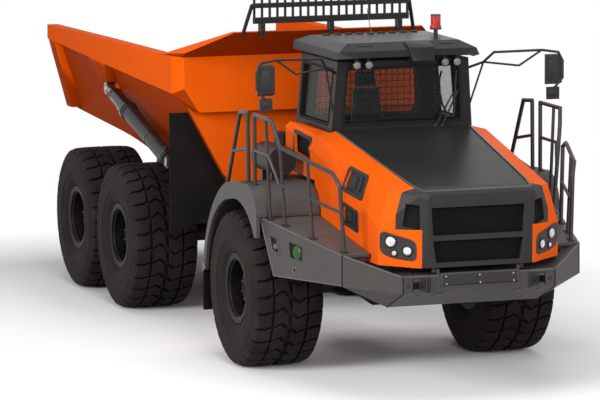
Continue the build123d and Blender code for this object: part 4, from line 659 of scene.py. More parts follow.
lamp_glass = Finish("lamp_lens", roughness=0.10, coat_weight=1.0, coat_roughness=0.03)
place = lamp_glass.place()
x, y, z = lamp_glass.axes(place)
flute = lamp_glass.wave(y + x * 0.6, 0.011)
cast = lamp_glass.noise(place, 14.0, 2.0) + flute * 0.06
lamp_glass.tone(cast, 0.35, 0.62, (0.86, 0.80, 0.82), (0.42, 0.36, 0.38))
lamp_glass.set(normal=lamp_glass.bump(flute, 0.0008, 0.5))
pod_moulding = moulded("pod_moulding", (0.026, 0.0225, 0.022), (0.055, 0.052, 0.05), 0.42, 0.3)
gloss_black = Finish("gloss_black", specular_ior_level=0.4)
film = gloss_black.noise(gloss_black.place(), 18.0, 4.0)
gloss_black.tone(film, 0.4, 0.7, (0.006, 0.006, 0.006), (0.016, 0.015, 0.014))
gloss_black.set(roughness=gloss_black.ramp(film, 0.35, 0.7, 0.16, 0.34))


def turned(mesh, stand, line, steps, closed=False):
    """A line of (height, radius) turned about the stand's Z."""
    made = bmesh.new()
    lathe(made, line, steps, closed)
    if not closed:
        bmesh.ops.remove_doubles(made, verts=made.verts, dist=line[0][1] * 0.01)
        bmesh.ops.recalc_face_normals(made, faces=made.faces)
    placed(mesh, made, stand @ Matrix.Rotation(pi / 2, 4, "X"))


def lens(mesh, stand, radius, depth, steps=28):
    """A domed lens."""
    shape = [(0.0, 1.0), (0.35, 0.98), (0.75, 0.78), (0.95, 0.42), (1.0, 0.001)]
    turned(mesh, stand, [(depth * height, radius * share) for height, share in shape], steps)


def collar(mesh, stand, outer, inner, tall, steps=32):
    """A raised ring with a soft lip."""
    lip = min(0.25 * (outer - inner), tall * 0.4)
    turned(mesh, stand, [(0.0, outer), (tall - lip, outer), (tall, outer - lip), (tall, inner + lip),
                         (tall - lip, inner), (0.0, inner)], steps, closed=True)


pods, lamp_rings, lenses = bmesh.new(), bmesh.new(), bmesh.new()
for s in (1, -1):
    out = Vector((-FACET_ALONG[1], s * FACET_ALONG[0], 0.0))
    stand = facing((FACET_REAR[0], s * FACET_REAR[1], 0.0), out)
    slab(pods, stand, [(-s * u, v) for u, v in POD_OUTLINE], 0.012, 0.055, 0.005, rim=0.012, sunk=0.004,
         low=-0.004, steps=6)
    for x, y, z, r in LAMPS:
        at = Vector((x, s * y, z))
        at += out * (LAMP_PROUD - (stand.inverted() @ at).z)
        collar(lamp_rings, facing(at, out), r + RING_OUTER, r * RING_INNER, RING_TALL)
        lens(lenses, facing(at + out * 0.002, out), r * 0.82, LENS_DEPTH)
put("headlamp_pods", pods, pod_moulding, "hood")
put("headlamp_rings", lamp_rings, gloss_black, "hood")
put("headlamp_lenses", lenses, lamp_glass, "hood")

# --- Hood vents and edge strips -----------------------------------------------------------------
# Moulded scoops let hot air out of each side. The upper one holds the hood's pull latch in a
# dark slot, and the lower one has a post up its middle. Both clip into the panel from outside,
# as does the metal strip along each edge of the hood's dark top.
# X of the middle, z of the middle, width and height of each opening
VENTS = [(4.040, 2.055, 0.400, 0.230), (3.990, 1.715, 0.380, 0.200)]
VENT_MARGIN, VENT_SLANT = 0.042, 0.040
VENT_TALL = 0.23  # the height for which the bars below are drawn
# along the vent from its middle, width, height and top of the panel behind, the slot and the post
VENT_BARS = [("panel", -0.07, 0.16, 0.12, 0.000), ("slot", 0.075, 0.032, 0.14, -0.010),
             ("post", 0.115, 0.026, 0.15, 0.004)]


def on_hood(s, x, z):
    """The point of the hood's side at that X and z."""
    return touch("hood_sides", (x, s * 2.0, z), (0, -s, 0))[0]


def against(corners, out):
    """The stand in the middle of four corners of a wall, that looks out of it."""
    normal = (corners[2] - corners[0]).cross(corners[3] - corners[1])
    return facing(sum(corners, Vector()) / 4, normal if normal.dot(Vector(out)) > 0 else -normal)


scoops, slots = bmesh.new(), bmesh.new()
for s in (1, -1):
    for x, z, w, h in VENTS:
        m = VENT_MARGIN
        ring = [(x - w / 2 - m * 1.2, z - h / 2 + VENT_SLANT - m * 0.5),
                (x + w / 2 + m * 1.1, z - h / 2 - m * 0.8),
                (x + w / 2 + m * 0.9, z + h / 2 - VENT_SLANT + m * 0.6),
                (x - w / 2 - m * 0.6, z + h / 2 + m * 0.9)]
        meets = [on_hood(s, *corner) for corner in ring]
        stand = against(meets, (0, s, 0))
        halfway = [((a[0] + b[0]) / 2, (a[1] + b[1]) / 2) for a, b in zip(ring, ring[1:] + ring[:1])]
        proud = max((stand.inverted() @ on_hood(s, *corner)).z for corner in ring + halfway)
        stand = stand @ Matrix.Translation((0, 0, proud))
        flat = [tuple((stand.inverted() @ c).to_2d()) for c in meets]
        slab(scoops, stand, flat, 0.009, 0.045, 0.005, rim=0.028, sunk=0.026, low=-0.024, steps=5)
        middle = sum(meets, Vector()) / 4
        centre = stand.inverted() @ Vector((x, middle.y, z))
        for kind, u, wide, tall, top in VENT_BARS:
            outline = rect(wide / 2, tall * h / VENT_TALL / 2, centre.x - s * u, centre.y)
            slab(slots if kind == "slot" else scoops, stand, outline, top, 0.010, 0.004, low=-0.017)
put("hood_vents", scoops, grille_moulding, "hood")
put("vent_slots", slots, gloss_black, "hood")

# X, |y| and z along each edge of the hood's dark top panel, and of the strip's front corner
TOP_EDGE = [(2.945, 0.713, 2.444), (4.762, 0.600, 2.109), (4.985, 0.561, 2.070)]
TOP_FRONT = (4.985, 0.561, 2.066)
STRIP_R, FRONT_STRIP_R, STRIP_SIDES = 0.017, 0.016, 12
trims = bmesh.new()
for s in (1, -1):
    bars(trims, on_side(s, TOP_EDGE), STRIP_R, STRIP_SIDES)
bars(trims, on_side(-1, [TOP_FRONT]) + on_side(1, [TOP_FRONT]), FRONT_STRIP_R, STRIP_SIDES)
trim_enamel = enamel("trim_enamel", (0.060, 0.058, 0.056), (0.16, 0.158, 0.155), 0.16, gloss=0.6,
                     metallic=0.55)
put("hood_top_trim", trims, trim_enamel, "hood")

# --- Bumper -------------------------------------------------------------------------------------
# The bumper is heavy plate, folded and welded in three parts. A punched tread plate is bolted
# on the front of its step, and each tow pocket has a ribbed latch block at its inner end.
TREAD_FACE_X, TREAD_LOW_Z, TREAD_HIGH_Z, TREAD_HALF_W = 5.058, 1.156, 1.262, 0.390
TREAD_BLACK, SLOT_BLACK, BOLT_BRIGHT = (0.030, 0.026, 0.025), (0.006, 0.006, 0.006), (0.42, 0.41, 0.40)
SLOT_PITCH_Y, SLOT_PITCH_Z = 0.056, 0.030
BOLT_Y, BOLT_Z, BOLT_R = 0.175, (1.172, 1.244), 0.008
bumper_enamel = enamel("bumper_enamel", [c * 0.86 for c in GREY], GREY_WORN, 0.45, dust=0.15)
x, y, z = bumper_enamel.axes(bumper_enamel.place())
wide = abs(y)
tread = (x > TREAD_FACE_X) * (z > TREAD_LOW_Z) * (z < TREAD_HIGH_Z) * (wide < TREAD_HALF_W)
slot = (bumper_enamel.wave(y, SLOT_PITCH_Y) * bumper_enamel.wave(z, SLOT_PITCH_Z) > 0.22) * tread
bolt_y = abs(wide - BOLT_Y) - BOLT_Y
bolt_z = abs(z - sum(BOLT_Z) / 2) - (BOLT_Z[1] - BOLT_Z[0]) / 2
bolt = (bolt_y * bolt_y + bolt_z * bolt_z < BOLT_R ** 2) * tread
tint = bumper_enamel.mix(tread, bumper_enamel.tint, TREAD_BLACK)
tint = bumper_enamel.mix(slot, tint, SLOT_BLACK)
bumper_enamel.set(base_color=bumper_enamel.mix(bolt, tint, BOLT_BRIGHT),
                  normal=bumper_enamel.bump(bolt - slot, 0.004, 0.8, bumper_enamel.soft))
repaint(bumper_enamel, "front_bumper")

BUMPER_X, TOW_Z = 5.055, 1.170
RIB_Y, RIB_PITCH, RIB_FACE, BLOCK_Y, BLOCK_FACE = 0.566, 0.017, 0.032, 0.592, 0.046
HOOK_Y, HOOK_Z = 0.530, 1.166
HOOK = [(-0.016, -0.078), (0.016, -0.070), (0.020, 0.050), (0.010, 0.078), (-0.016, 0.078)]
BUTTON_Y, BUTTON_R, BUTTON_HOLE_R = 0.738, 0.020, 0.011
TOP_BOLTS = [(4.660 + 0.085 * k, 0.700 - 0.030 * k, 1.2585) for k in range(5)]
latches, latch_bolts = bmesh.new(), bmesh.new()
for s in (1, -1):
    for k in range(4):
        slab(latches, facing((BUMPER_X - RIB_FACE, s * (RIB_Y + RIB_PITCH * k), TOW_Z), AHEAD),
             rect(0.0055, 0.062), 0.030, 0.002, 0.003)
    slab(latches, facing((BUMPER_X - BLOCK_FACE, s * BLOCK_Y, TOW_Z), AHEAD), rect(0.034, 0.060),
         0.012, 0.004, 0.002)
    slab(latches, facing((BUMPER_X, s * HOOK_Y, HOOK_Z), AHEAD), HOOK, 0.020, 0.004, 0.004)
    collar(latches, facing((BUMPER_X, s * BUTTON_Y, TOW_Z), AHEAD), BUTTON_R, BUTTON_HOLE_R, 0.004, 20)
    for place in on_side(s, TOP_BOLTS):
        nut(latch_bolts, place, UP, 0.010, 0.010)
put("tow_latches", latches, frame_enamel, "front_chassis")
put("bumper_bolts", latch_bolts, frame_enamel, "front_chassis")

# Near-black for the bumper's dark seams, and for the plates, strips and discs that paint the shade inside
# pockets, slots and holes; the cowl window's screen takes it too.
shade_and_seam_black = Finish("shade_and_seam_black", roughness=0.8, specular_ior_level=0.1)
cloud = shade_and_seam_black.noise(shade_and_seam_black.place(), 30.0)
shade_and_seam_black.set(base_color=shade_and_seam_black.mix(cloud, (0.004, 0.004, 0.004), (0.016, 0.015, 0.014)))
# A paler grey than the panels paints the highlight and reflection along the rolled hems; the deck fittings
# and flap brackets are painted with it too.
highlight_grey_enamel = enamel("highlight_grey_enamel", (0.105, 0.098, 0.094), GREY_WORN, 0.38)
SEAM_R, HEM_R = 0.0055, 0.007
# X, |y| and z down the wing's joints with the middle and with the walkway, and along its hems
SEAMS = [[(5.055, 0.792, 1.258), (5.055, 0.792, 1.089), (4.597, 0.792, 0.898)],
         [(4.576, 1.247, 1.434), (4.576, 1.248, 1.123)]]
WING_HEMS = [[(4.586, 1.238, 1.426), (5.048, 0.800, 1.257)], [(5.050, 0.786, 1.256), (5.050, 0.420, 1.256)]]
seams, wing_hems = bmesh.new(), bmesh.new()
for s in (1, -1):
    for mesh, runs, radius in ((seams, SEAMS, SEAM_R), (wing_hems, WING_HEMS, HEM_R)):
        for run in runs:
            bars(mesh, on_side(s, run), radius)
put("bumper_seams", seams, shade_and_seam_black, "front_chassis")
put("bumper_hems", wing_hems, highlight_grey_enamel, "front_chassis")

# --- Walkways -----------------------------------------------------------------------------------
# A walkway of raised-pattern plate runs down each side of the hood. Its deep side panel has a
# latch pocket, a hollow with the green washer filler's cap, and a hole with a pressed ring.
TREAD_PITCH = 0.045
deck_enamel = enamel("deck_enamel", GREY, GREY_WORN, 0.45)
x, y, z = deck_enamel.axes(deck_enamel.place())
upward = deck_enamel.axes(deck_enamel.node("NewGeometry", output="True Normal"))[2] > 0.9
lean, cross = (deck_enamel.wave(x + y * side, TREAD_PITCH) for side in (1, -1))
ribs = (lean * cross > 0.45) * upward
deck_enamel.set(base_color=deck_enamel.mix(ribs * 0.6, deck_enamel.tint, GREY_WORN),
                normal=deck_enamel.bump(ribs, 0.003, 0.7, deck_enamel.soft))
repaint(deck_enamel, "side_deck_left", "side_deck_right")

DECK_REAR, DECK_FRONT = (3.070, 1.580, 1.635), (4.574, 1.246, 1.434)  # X, |y| and z of its top edge's ends
DECK_LEAN = Vector((DECK_FRONT[0] - DECK_REAR[0], DECK_FRONT[1] - DECK_REAR[1])).normalized()
DECK_SLOPE = (DECK_FRONT[2] - DECK_REAR[2]) / (DECK_FRONT[0] - DECK_REAR[0])
# X and z of the panel's details
LATCH_POCKET = [(3.234, 1.494), (3.389, 1.472), (3.450, 1.284), (3.294, 1.321)]
LATCH_LUG = [(3.330, 1.352), (3.386, 1.344), (3.394, 1.392), (3.338, 1.402)]
FILLER_POCKET = [(3.596, 1.464), (3.862, 1.435), (3.866, 1.274), (3.626, 1.283)]
FILLER_CAP, FILLER_R, DRAIN_HOLE, DRAIN_R = (3.775, 1.360), 0.072, (3.713, 1.177), 0.021
DECK_HEMS = [((3.070, 1.628), (4.571, 1.427)), ((3.320, 1.073), (4.571, 1.130)),
             ((3.077, 1.625), (3.320, 1.076))]


def shrunk(outline, by):
    """The outline with each corner drawn in towards its middle."""
    middle = Vector((sum(u for u, v in outline), sum(v for u, v in outline))) / len(outline)
    return [tuple(Vector(c) + (middle - Vector(c)).normalized() * by) for c in outline]


filler_green = Finish("filler_green", roughness=0.42, specular_ior_level=0.3)
cloud = filler_green.noise(filler_green.place(), 40.0, 3.0)
filler_green.tone(cloud, 0.3, 0.7, (0.006, 0.042, 0.003), (0.011, 0.075, 0.005))
filler_green.set(normal=filler_green.bump(cloud, 0.001, 0.4))
frames, pocket_shades, hems, fittings, plugs = (bmesh.new() for _ in range(5))
for s in (1, -1):
    out = Vector((-DECK_LEAN.y, s * DECK_LEAN.x, 0.0))
    stand = facing((DECK_REAR[0], s * DECK_REAR[1], 0.0), out)
    cap, latch_pocket, lug, filler_pocket, drain, *hem_runs = (
        [(-s * (x - DECK_REAR[0]) / DECK_LEAN.x, z) for x, z in points]
        for points in ([FILLER_CAP], LATCH_POCKET, LATCH_LUG, FILLER_POCKET, [DRAIN_HOLE], *DECK_HEMS))
    slab(frames, stand, latch_pocket, 0.008, 0.016, 0.003, rim=0.015, sunk=0.006, low=-0.004)
    # A near-black plate sunk in each pocket paints the shade inside it.
    slab(pocket_shades, stand, shrunk(latch_pocket, 0.024), 0.004, 0.012, low=0.001)
    slab(fittings, stand, lug, 0.010, 0.008, 0.004)
    slab(frames, stand, filler_pocket, 0.005, 0.030, 0.002, rim=0.008, sunk=0.003, low=-0.004)
    slab(pocket_shades, stand, shrunk(filler_pocket, 0.014), 0.004, 0.026, low=0.001)
    lens(plugs, facing(stand @ Vector((*cap[0], 0.002)), out), FILLER_R, 0.030)
    drain_stand = facing(stand @ Vector((*drain[0], 0.0)), out)
    collar(fittings, drain_stand, 0.036, 0.020, 0.006, 28)
    # A black disc paints the shade in the drain hole.
    lens(pocket_shades, drain_stand, DRAIN_R, 0.001, 20)
    for run in hem_runs:
        bars(hems, [stand @ Vector((*end, 0.0)) for end in run], HEM_R)
put("deck_pocket_frames", frames, grey_enamel, "front_chassis")
put("deck_pocket_shades", pocket_shades, shade_and_seam_black, "front_chassis")
put("deck_hems", hems, highlight_grey_enamel, "front_chassis")
put("deck_fittings", fittings, highlight_grey_enamel, "front_chassis")
put("washer_filler_caps", plugs, filler_green, "front_chassis")

# --- Handrail feet and flap brackets ------------------------------------------------------------
# Each rail ends in a welded foot plate, bolted down by two hexagon bolts. The mudflap hangs
# from the fender by a triangular bracket at its outer edge and a clamp strip along its top.
# X and |y| of the feet on the walkways, which slope down to the front
RIGHT_FEET = [(3.180, 1.510), (3.440, 1.440), (3.950, 1.330), (4.490, 1.195)]
LEFT_FEET = [(3.180, 1.510), (3.450, 1.440), (3.860, 1.350), (4.200, 1.280), (4.490, 1.195)]
FENDER_FEET, FENDER_TOP = [(2.615, 1.550), (2.820, 1.550)], 1.934
FOOT, FOOT_THICK, FOOT_BOLT = rect(0.048, 0.034), 0.008, 0.036
BRACKET, BRACKET_Y = [(1.362, 0.990), (1.470, 0.905), (1.362, 0.845)], 1.6402  # X and z, and |y|
CLAMP_PLACE, CLAMP, CLAMP_THICK, CLAMP_BOLTS = (1.3595, 1.420, 0.850), rect(0.210, 0.022), 0.008, 0.11
feet, brackets = bmesh.new(), bmesh.new()
for s, deck_feet in ((1, LEFT_FEET), (-1, RIGHT_FEET)):
    places = [(x, s * y, DECK_REAR[2] + (x - DECK_REAR[0]) * DECK_SLOPE, (-DECK_SLOPE, 0, 1))
              for x, y in deck_feet]
    places += [(x, s * y, FENDER_TOP, UP) for x, y in FENDER_FEET]
    for x, y, z, up in places:
        stand = facing((x, y, z), up, LEFT)
        slab(feet, stand, FOOT, FOOT_THICK, 0.010, 0.002, low=-0.002)
        for u in (-FOOT_BOLT, FOOT_BOLT):
            nut(feet, stand @ Vector((u, 0, FOOT_THICK)), up, 0.009, 0.010)
    slab(brackets, facing((0, s * BRACKET_Y, 0), (0, s, 0)), [(-s * x, z) for x, z in BRACKET],
         0.010, 0.006, 0.002)
    strip = facing(on_side(s, [CLAMP_PLACE])[0], (-1, 0, 0))
    slab(brackets, strip, CLAMP, CLAMP_THICK, 0.006, 0.002)
    for k in range(4):
        nut(brackets, strip @ Vector((CLAMP_BOLTS * (k - 1.5), 0, CLAMP_THICK)), (-1, 0, 0), 0.010, 0.010)
put("handrail_feet", feet, frame_enamel, "front_chassis")
put("mudflap_brackets", brackets, highlight_grey_enamel, "front_chassis")

flap_rubber = Finish("flap_rubber", specular_ior_level=0.12)
place = flap_rubber.place()
cloud, fine = flap_rubber.noise(place, 2.4, 5.0), flap_rubber.noise(place, 210.0, 1.0)
flap_rubber.tone(cloud, 0.4, 0.8, (0.0035, 0.0030, 0.0026), (0.011, 0.0085, 0.0075))
flap_rubber.set(roughness=flap_rubber.ramp(cloud, 0.3, 0.7, 0.62, 0.80),
                normal=flap_rubber.bump(fine, 0.0008, 0.4))
repaint(flap_rubber, "front_mudflaps", "bin_splash_flaps")

# --- Cab glass and its rubber -------------------------------------------------------------------
# Flat tinted safety glass is bonded in the middle of the cab's walls. A black rubber moulding
# closes the joint all round each opening, and carries the wiper's pivots under the windscreen.
tinted_glass = Finish("tinted_glass", base_color=(0.010, 0.013, 0.012), alpha=0.26, specular_ior_level=0.3)
smear = tinted_glass.noise(tinted_glass.place(), 3.0, 5.0)
tinted_glass.set(roughness=tinted_glass.ramp(smear, 0.4, 0.75, 0.03, 0.14))
repaint(tinted_glass, "cab_glass", "door_glass")
window_rubber = moulded("window_rubber", (0.010, 0.0095, 0.009), (0.02, 0.02, 0.02), 0.62, 0.12, 300.0)

SILL_Z, ROOF_Z = 2.450, 3.150
# half width of the side walls, X of the front wall and X of the rear wall, at the sill and the roof
WALL_Y, FRONT_X, REAR_X = (0.760, 0.705), (2.905, 2.950), (1.815, 1.850)
RUBBER_W, RUBBER_THICK, RUBBER_ROUNDING, RUBBER_LOW, OPENING_GROWTH = 0.026, 0.006, 0.035, -0.003, 0.016


def between(z, ends):
    """The distance at that height of a wall that leans from the sill to the roof."""
    return ends[0] + (z - SILL_Z) / (ROOF_Z - SILL_Z) * (ends[1] - ends[0])


def at_front(y, z, proud=0.0):
    return between(z, FRONT_X) + proud, y, z


def at_rear(y, z):
    return between(z, REAR_X), y, z


def at_left(x, z, proud=0.0):
    return x, between(z, WALL_Y) + proud, z


def at_right(x, z):
    return x, -between(z, WALL_Y), z


def surround(mesh, stand, corners, width, thick, rounding, low=0.0):
    """A flat frame with rounded corners, that reaches width inwards from its outline."""
    made = bmesh.new()
    made.faces.new([made.verts.new((u, v, low)) for u, v in anticlockwise(corners)])
    bevel(made, made.verts[:], rounding, 4, clamp=False, affect="VERTICES")
    band = bmesh.ops.inset_region(made, faces=made.faces[:], thickness=width, use_boundary=True,
                                  use_even_offset=True)["faces"]
    bmesh.ops.delete(made, geom=[f for f in made.faces if f not in band], context="FACES")
    raise_faces(made, made.faces[:], thick - low)
    placed(mesh, made, stand)


def on_wall(corners, out):
    """The stand of four points on a wall, and the points drawn flat in it, grown a little."""
    corners = [Vector(c) for c in corners]
    stand = against(corners, out)
    flat = [(stand.inverted() @ c).to_2d() for c in corners]
    return stand, [tuple(c + c.normalized() * OPENING_GROWTH) for c in flat]


rubbers, door_rubber = bmesh.new(), bmesh.new()
GLAZING = [(rubbers, at_front, AHEAD, [(0.64, 2.50), (0.60, 3.09), (-0.60, 3.09), (-0.64, 2.50)]),
           (rubbers, at_rear, (-1, 0, 0), [(0.56, 2.48), (0.54, 3.04), (-0.54, 3.04), (-0.56, 2.48)]),
           (rubbers, at_right, (0, -1, 0), [(1.91, 2.50), (2.79, 2.50), (2.83, 3.07), (1.93, 3.07)]),
           (rubbers, at_left, LEFT, [(2.70, 2.50), (2.80, 2.50), (2.835, 3.07), (2.70, 3.07)]),
           (door_rubber, at_left, LEFT, [(2.03, 2.50), (2.57, 2.50), (2.57, 3.03), (2.03, 3.03)])]
for mesh, wall, out, points in GLAZING:
    stand, flat = on_wall([wall(*point) for point in points], out)
    surround(mesh, stand, flat, RUBBER_W, RUBBER_THICK, RUBBER_ROUNDING, RUBBER_LOW)
put("window_rubbers", rubbers, window_rubber, "front_chassis")
put("door_window_rubber", door_rubber, window_rubber, "cab_door")

# The right cowl's screened window has a moulded ring round it. X and z of the ring's corners:
COWL_WINDOW = [(2.290, 2.160), (2.780, 2.120), (2.780, 2.370), (2.290, 2.410)]
cowl_ring, cowl_screen = bmesh.new(), bmesh.new()
stand, flat = on_wall([touch("cowl_right", (x, -2.0, z), LEFT)[0] for x, z in COWL_WINDOW], (0, -1, 0))
surround(cowl_ring, stand, flat, 0.034, 0.010, 0.045, -0.012)
slab(cowl_screen, stand, shrunk(flat, 0.020), -0.046, 0.02, low=-0.052)
put("cowl_window_ring", cowl_ring, grille_moulding, "front_chassis")
put("cowl_window_screen", cowl_screen, shade_and_seam_black, "front_chassis")

# --- Wiper and rear mesh ------------------------------------------------------------------------
# One wiper on two parallel arms parks beside the left post. Welded wire mesh behind the seat
# guards the rear window against stones that come over the bin's front.
# y and z of the arms' lower ends, of their upper ends and of the blade's ends
WIPER_PIVOTS, WIPER_HEADS = [(0.360, 2.462), (0.430, 2.462)], [(0.535, 2.790), (0.590, 2.815)]
WIPER_BLADE = [(0.548, 2.54), (0.570, 3.03)]
# distance of the arms' ends in front of the glass, and of the pivots and the lip behind the arms
ARM_LOW, ARM_HIGH, PIVOT_DEEP, LIP_DEEP = 0.022, 0.028, 0.026, 0.010
wiper = bmesh.new()
for pivot, head in zip(WIPER_PIVOTS, WIPER_HEADS):
    bar(wiper, at_front(*pivot, ARM_LOW), at_front(*head, ARM_HIGH), 0.012, 8, 0.008)
    collar(wiper, facing(at_front(*pivot, ARM_LOW - PIVOT_DEEP), AHEAD), 0.019, 0.004, 0.034, 16)
bars(wiper, [at_front(*end, ARM_LOW) for end in WIPER_BLADE], 0.011)
bars(wiper, [at_front(*end, ARM_LOW - LIP_DEEP) for end in WIPER_BLADE], 0.004, 6)
bars(wiper, [at_front(*head, ARM_HIGH) for head in WIPER_HEADS], 0.008)
put("windscreen_wiper", wiper, gloss_black, "front_chassis")

MESH_PITCH, MESH_R, MESH_SIDES = 0.066, 0.0060, 5
MESH_X, MESH_LEAN, MESH_STEP = 1.895, 0.038, 0.008  # the level wires stand a step in front of the others
MESH_FOOT, MESH_TOP, MESH_HALF_W = 2.47, 3.05, 0.57
mesh_guard = bmesh.new()
for k in range(-8, 9):
    y = MESH_PITCH * k
    bar(mesh_guard, (MESH_X, y, MESH_FOOT), (MESH_X + 0.022, y, MESH_TOP), MESH_R, MESH_SIDES)
for k in range(9):
    z = MESH_FOOT + 0.03 + MESH_PITCH * k
    x = MESH_X + MESH_STEP + MESH_LEAN * (z - MESH_FOOT)
    bar(mesh_guard, (x, -MESH_HALF_W, z), (x, MESH_HALF_W, z), MESH_R, MESH_SIDES)
put("rear_mesh_guard", mesh_guard, frame_enamel, "front_chassis")

# --- Cab door furniture -------------------------------------------------------------------------
# The door has a pull handle of black tube on two posts, a moulded lock plate beside it, and a bent
# grab bar inside its window. All are screwed to the door's frame.
PULL_X, PULL_Z, PULL_PROUD, PULL_OVER = 2.545, (2.14, 2.40), 0.034, 0.012
LOCK = [(2.44, 2.24), (2.51, 2.24), (2.51, 2.34), (2.44, 2.34)]
GRAB = [(2.50, 0.640, 2.54), (2.46, 0.610, 2.62), (2.44, 0.590, 2.75), (2.45, 0.580, 2.88),
        (2.50, 0.585, 2.97)]
handles = bmesh.new()
for z in PULL_Z:
    bar(handles, at_left(PULL_X, z, -0.004), at_left(PULL_X, z, PULL_PROUD), 0.009, 10)
bars(handles, [Vector(at_left(PULL_X, z, PULL_PROUD)) + Vector((0, 0, over))
               for z, over in zip(PULL_Z, (-PULL_OVER, PULL_OVER))], 0.011, 12)
stand, flat = on_wall([at_left(*point) for point in LOCK], LEFT)
slab(handles, stand, flat, 0.010, 0.018, 0.003, rim=0.012, sunk=0.006)
bars(handles, GRAB, 0.011, 10)
put("door_handles", handles, gloss_black, "cab_door")

# --- Roof, lamps and beacon ---------------------------------------------------------------------
# The roof is one moulding, with a camera brow left of its middle, two slots for the air intake,
# low louvres behind, and a whip aerial. Round work lamps hang under it, and the beacon stands on it.
BROW_Y, BROW_EDGE = 0.130, 0.014
# X, half width and z of the brow's corners, by whether they are at its front and at its top
BROW = {(True, True): (3.150, 0.140, 3.290), (True, False): (3.206, 0.115, 3.150),
        (False, True): (2.960, 0.140, 3.348), (False, False): (2.960, 0.115, 3.132)}
INTAKE_X, INTAKE_Y, LOUVRE_X, LOUVRE_PITCH = 3.02, 0.44, 1.985, 0.12
LOUVRE = [(-0.042, -0.016), (0.042, -0.016), (0.034, 0.016), (-0.034, 0.016)]
AERIAL_PLACE, AERIAL_WHIP = (2.06, -0.02), Vector((-0.05, -0.03, 0.27))


def on_roof(x, y):
    return touch("cab_roof", (x, y, 3.6), (0, 0, -1))


def upright(point):
    """The stand of a detail that is turned about a vertical line."""
    return facing(point, UP, AHEAD)


brow = bmesh.new()
bmesh.ops.create_cube(brow, size=1.0)
for v in brow.verts:
    x, half_w, z = BROW[v.co.x > 0, v.co.z > 0]
    v.co = (x, BROW_Y + 2 * half_w * v.co.y, z)
bevel(brow, brow.edges[:], BROW_EDGE, 3)
put("roof_brow", brow, charcoal_enamel, "front_chassis")
slots, louvres = bmesh.new(), bmesh.new()
# Thin near-black strips paint the shade in the two intake slots.
for s in (1, -1):
    slab(slots, facing(*on_roof(INTAKE_X, s * INTAKE_Y)), rect(0.085, 0.006), 0.002, 0.0055, low=-0.002)
for k in range(-4, 5):
    point, normal = on_roof(LOUVRE_X, LOUVRE_PITCH * k)
    slab(louvres, facing(point, normal, AHEAD), LOUVRE, 0.016, 0.006, 0.006, low=-0.004)
put("roof_slot_shades", slots, shade_and_seam_black, "front_chassis")
put("roof_louvres", louvres, charcoal_enamel, "front_chassis")
aerial = bmesh.new()
foot = on_roof(*AERIAL_PLACE)[0]
collar(aerial, upright(foot), 0.022, 0.003, 0.022, 16)
bar(aerial, foot, foot + AERIAL_WHIP, 0.005, 8, 0.003)
put("roof_aerial", aerial, gloss_black, "front_chassis")

LAMP_BLACK, BEACON_GLASS_Z, BEACON_RIBS = (0.012, 0.0115, 0.011), (3.412, 3.536), 0.012
BEACON_DARK, BEACON_PALE = (0.36, 0.016, 0.012), (0.62, 0.045, 0.030)
lamp_shell = moulded("lamp_shell", LAMP_BLACK, (0.04, 0.04, 0.04), 0.45, 0.25)
x, y, z = lamp_shell.axes(lamp_shell.place())
red = (z > BEACON_GLASS_Z[0]) * (z < BEACON_GLASS_Z[1])
rib = lamp_shell.wave(z, BEACON_RIBS)
glow = lamp_shell.ramp(lamp_shell.noise(lamp_shell.place(), 12.0), 0.35, 0.65)
lamp_shell.set(base_color=lamp_shell.mix(red, LAMP_BLACK, lamp_shell.mix(glow, BEACON_DARK, BEACON_PALE)),
               roughness=0.42 - red * 0.27, normal=lamp_shell.bump(rib * red, 0.0015, 0.5))
repaint(lamp_shell, "roof_lamps")
WORK_LAMP_X, WORK_LAMP_Y, WORK_LAMP_Z, WORK_LAMP_R = 3.0605, (0.410, 0.540, -0.410, -0.540), 3.120, 0.039
BEACON_RINGS = [((2.400, 0.560, 3.538), 0.0530, 0.004, 0.012), ((2.400, 0.560, 3.394), 0.0620, 0.020, 0.016)]
lamp_faces, lamp_bezels = bmesh.new(), bmesh.new()
for y in WORK_LAMP_Y:
    stand = facing((WORK_LAMP_X, y, WORK_LAMP_Z), AHEAD)
    lens(lamp_faces, stand, WORK_LAMP_R, 0.012)
    collar(lamp_bezels, stand, WORK_LAMP_R + 0.006, WORK_LAMP_R - 0.002, 0.010)
for place, outer, inner, tall in BEACON_RINGS:
    collar(lamp_bezels, upright(place), outer, inner, tall)


def fluted(name, axis, pitch, dark, pale, strength):
    """Moulded lamp glass with flutes across that axis."""
    finish = Finish(name, roughness=0.18, specular_ior_level=0.4)
    flute = finish.wave(finish.axes(finish.place())[axis], pitch)
    finish.tone(flute, -1.0, 1.0, dark, pale)
    finish.set(normal=finish.bump(flute, 0.0008, strength))
    return finish


work_glass = fluted("work_lamp_glass", 1, 0.008, (0.17, 0.145, 0.15), (0.26, 0.225, 0.235), 0.4)
put("work_lamp_lenses", lamp_faces, work_glass, "front_chassis")
put("lamp_bezels", lamp_bezels, gloss_black, "front_chassis")

# --- Mirrors ------------------------------------------------------------------------------------
# Each side has a tall flat mirror and a small wide-angle one, silvered glass in moulded shells.
# Two clamps hold the tall shell on its bent tube.
MIRROR_Y, SHELL_X, CLAMP_Y, CLAMP_Z = 1.545, 3.1845, 1.637, (2.945, 3.085)
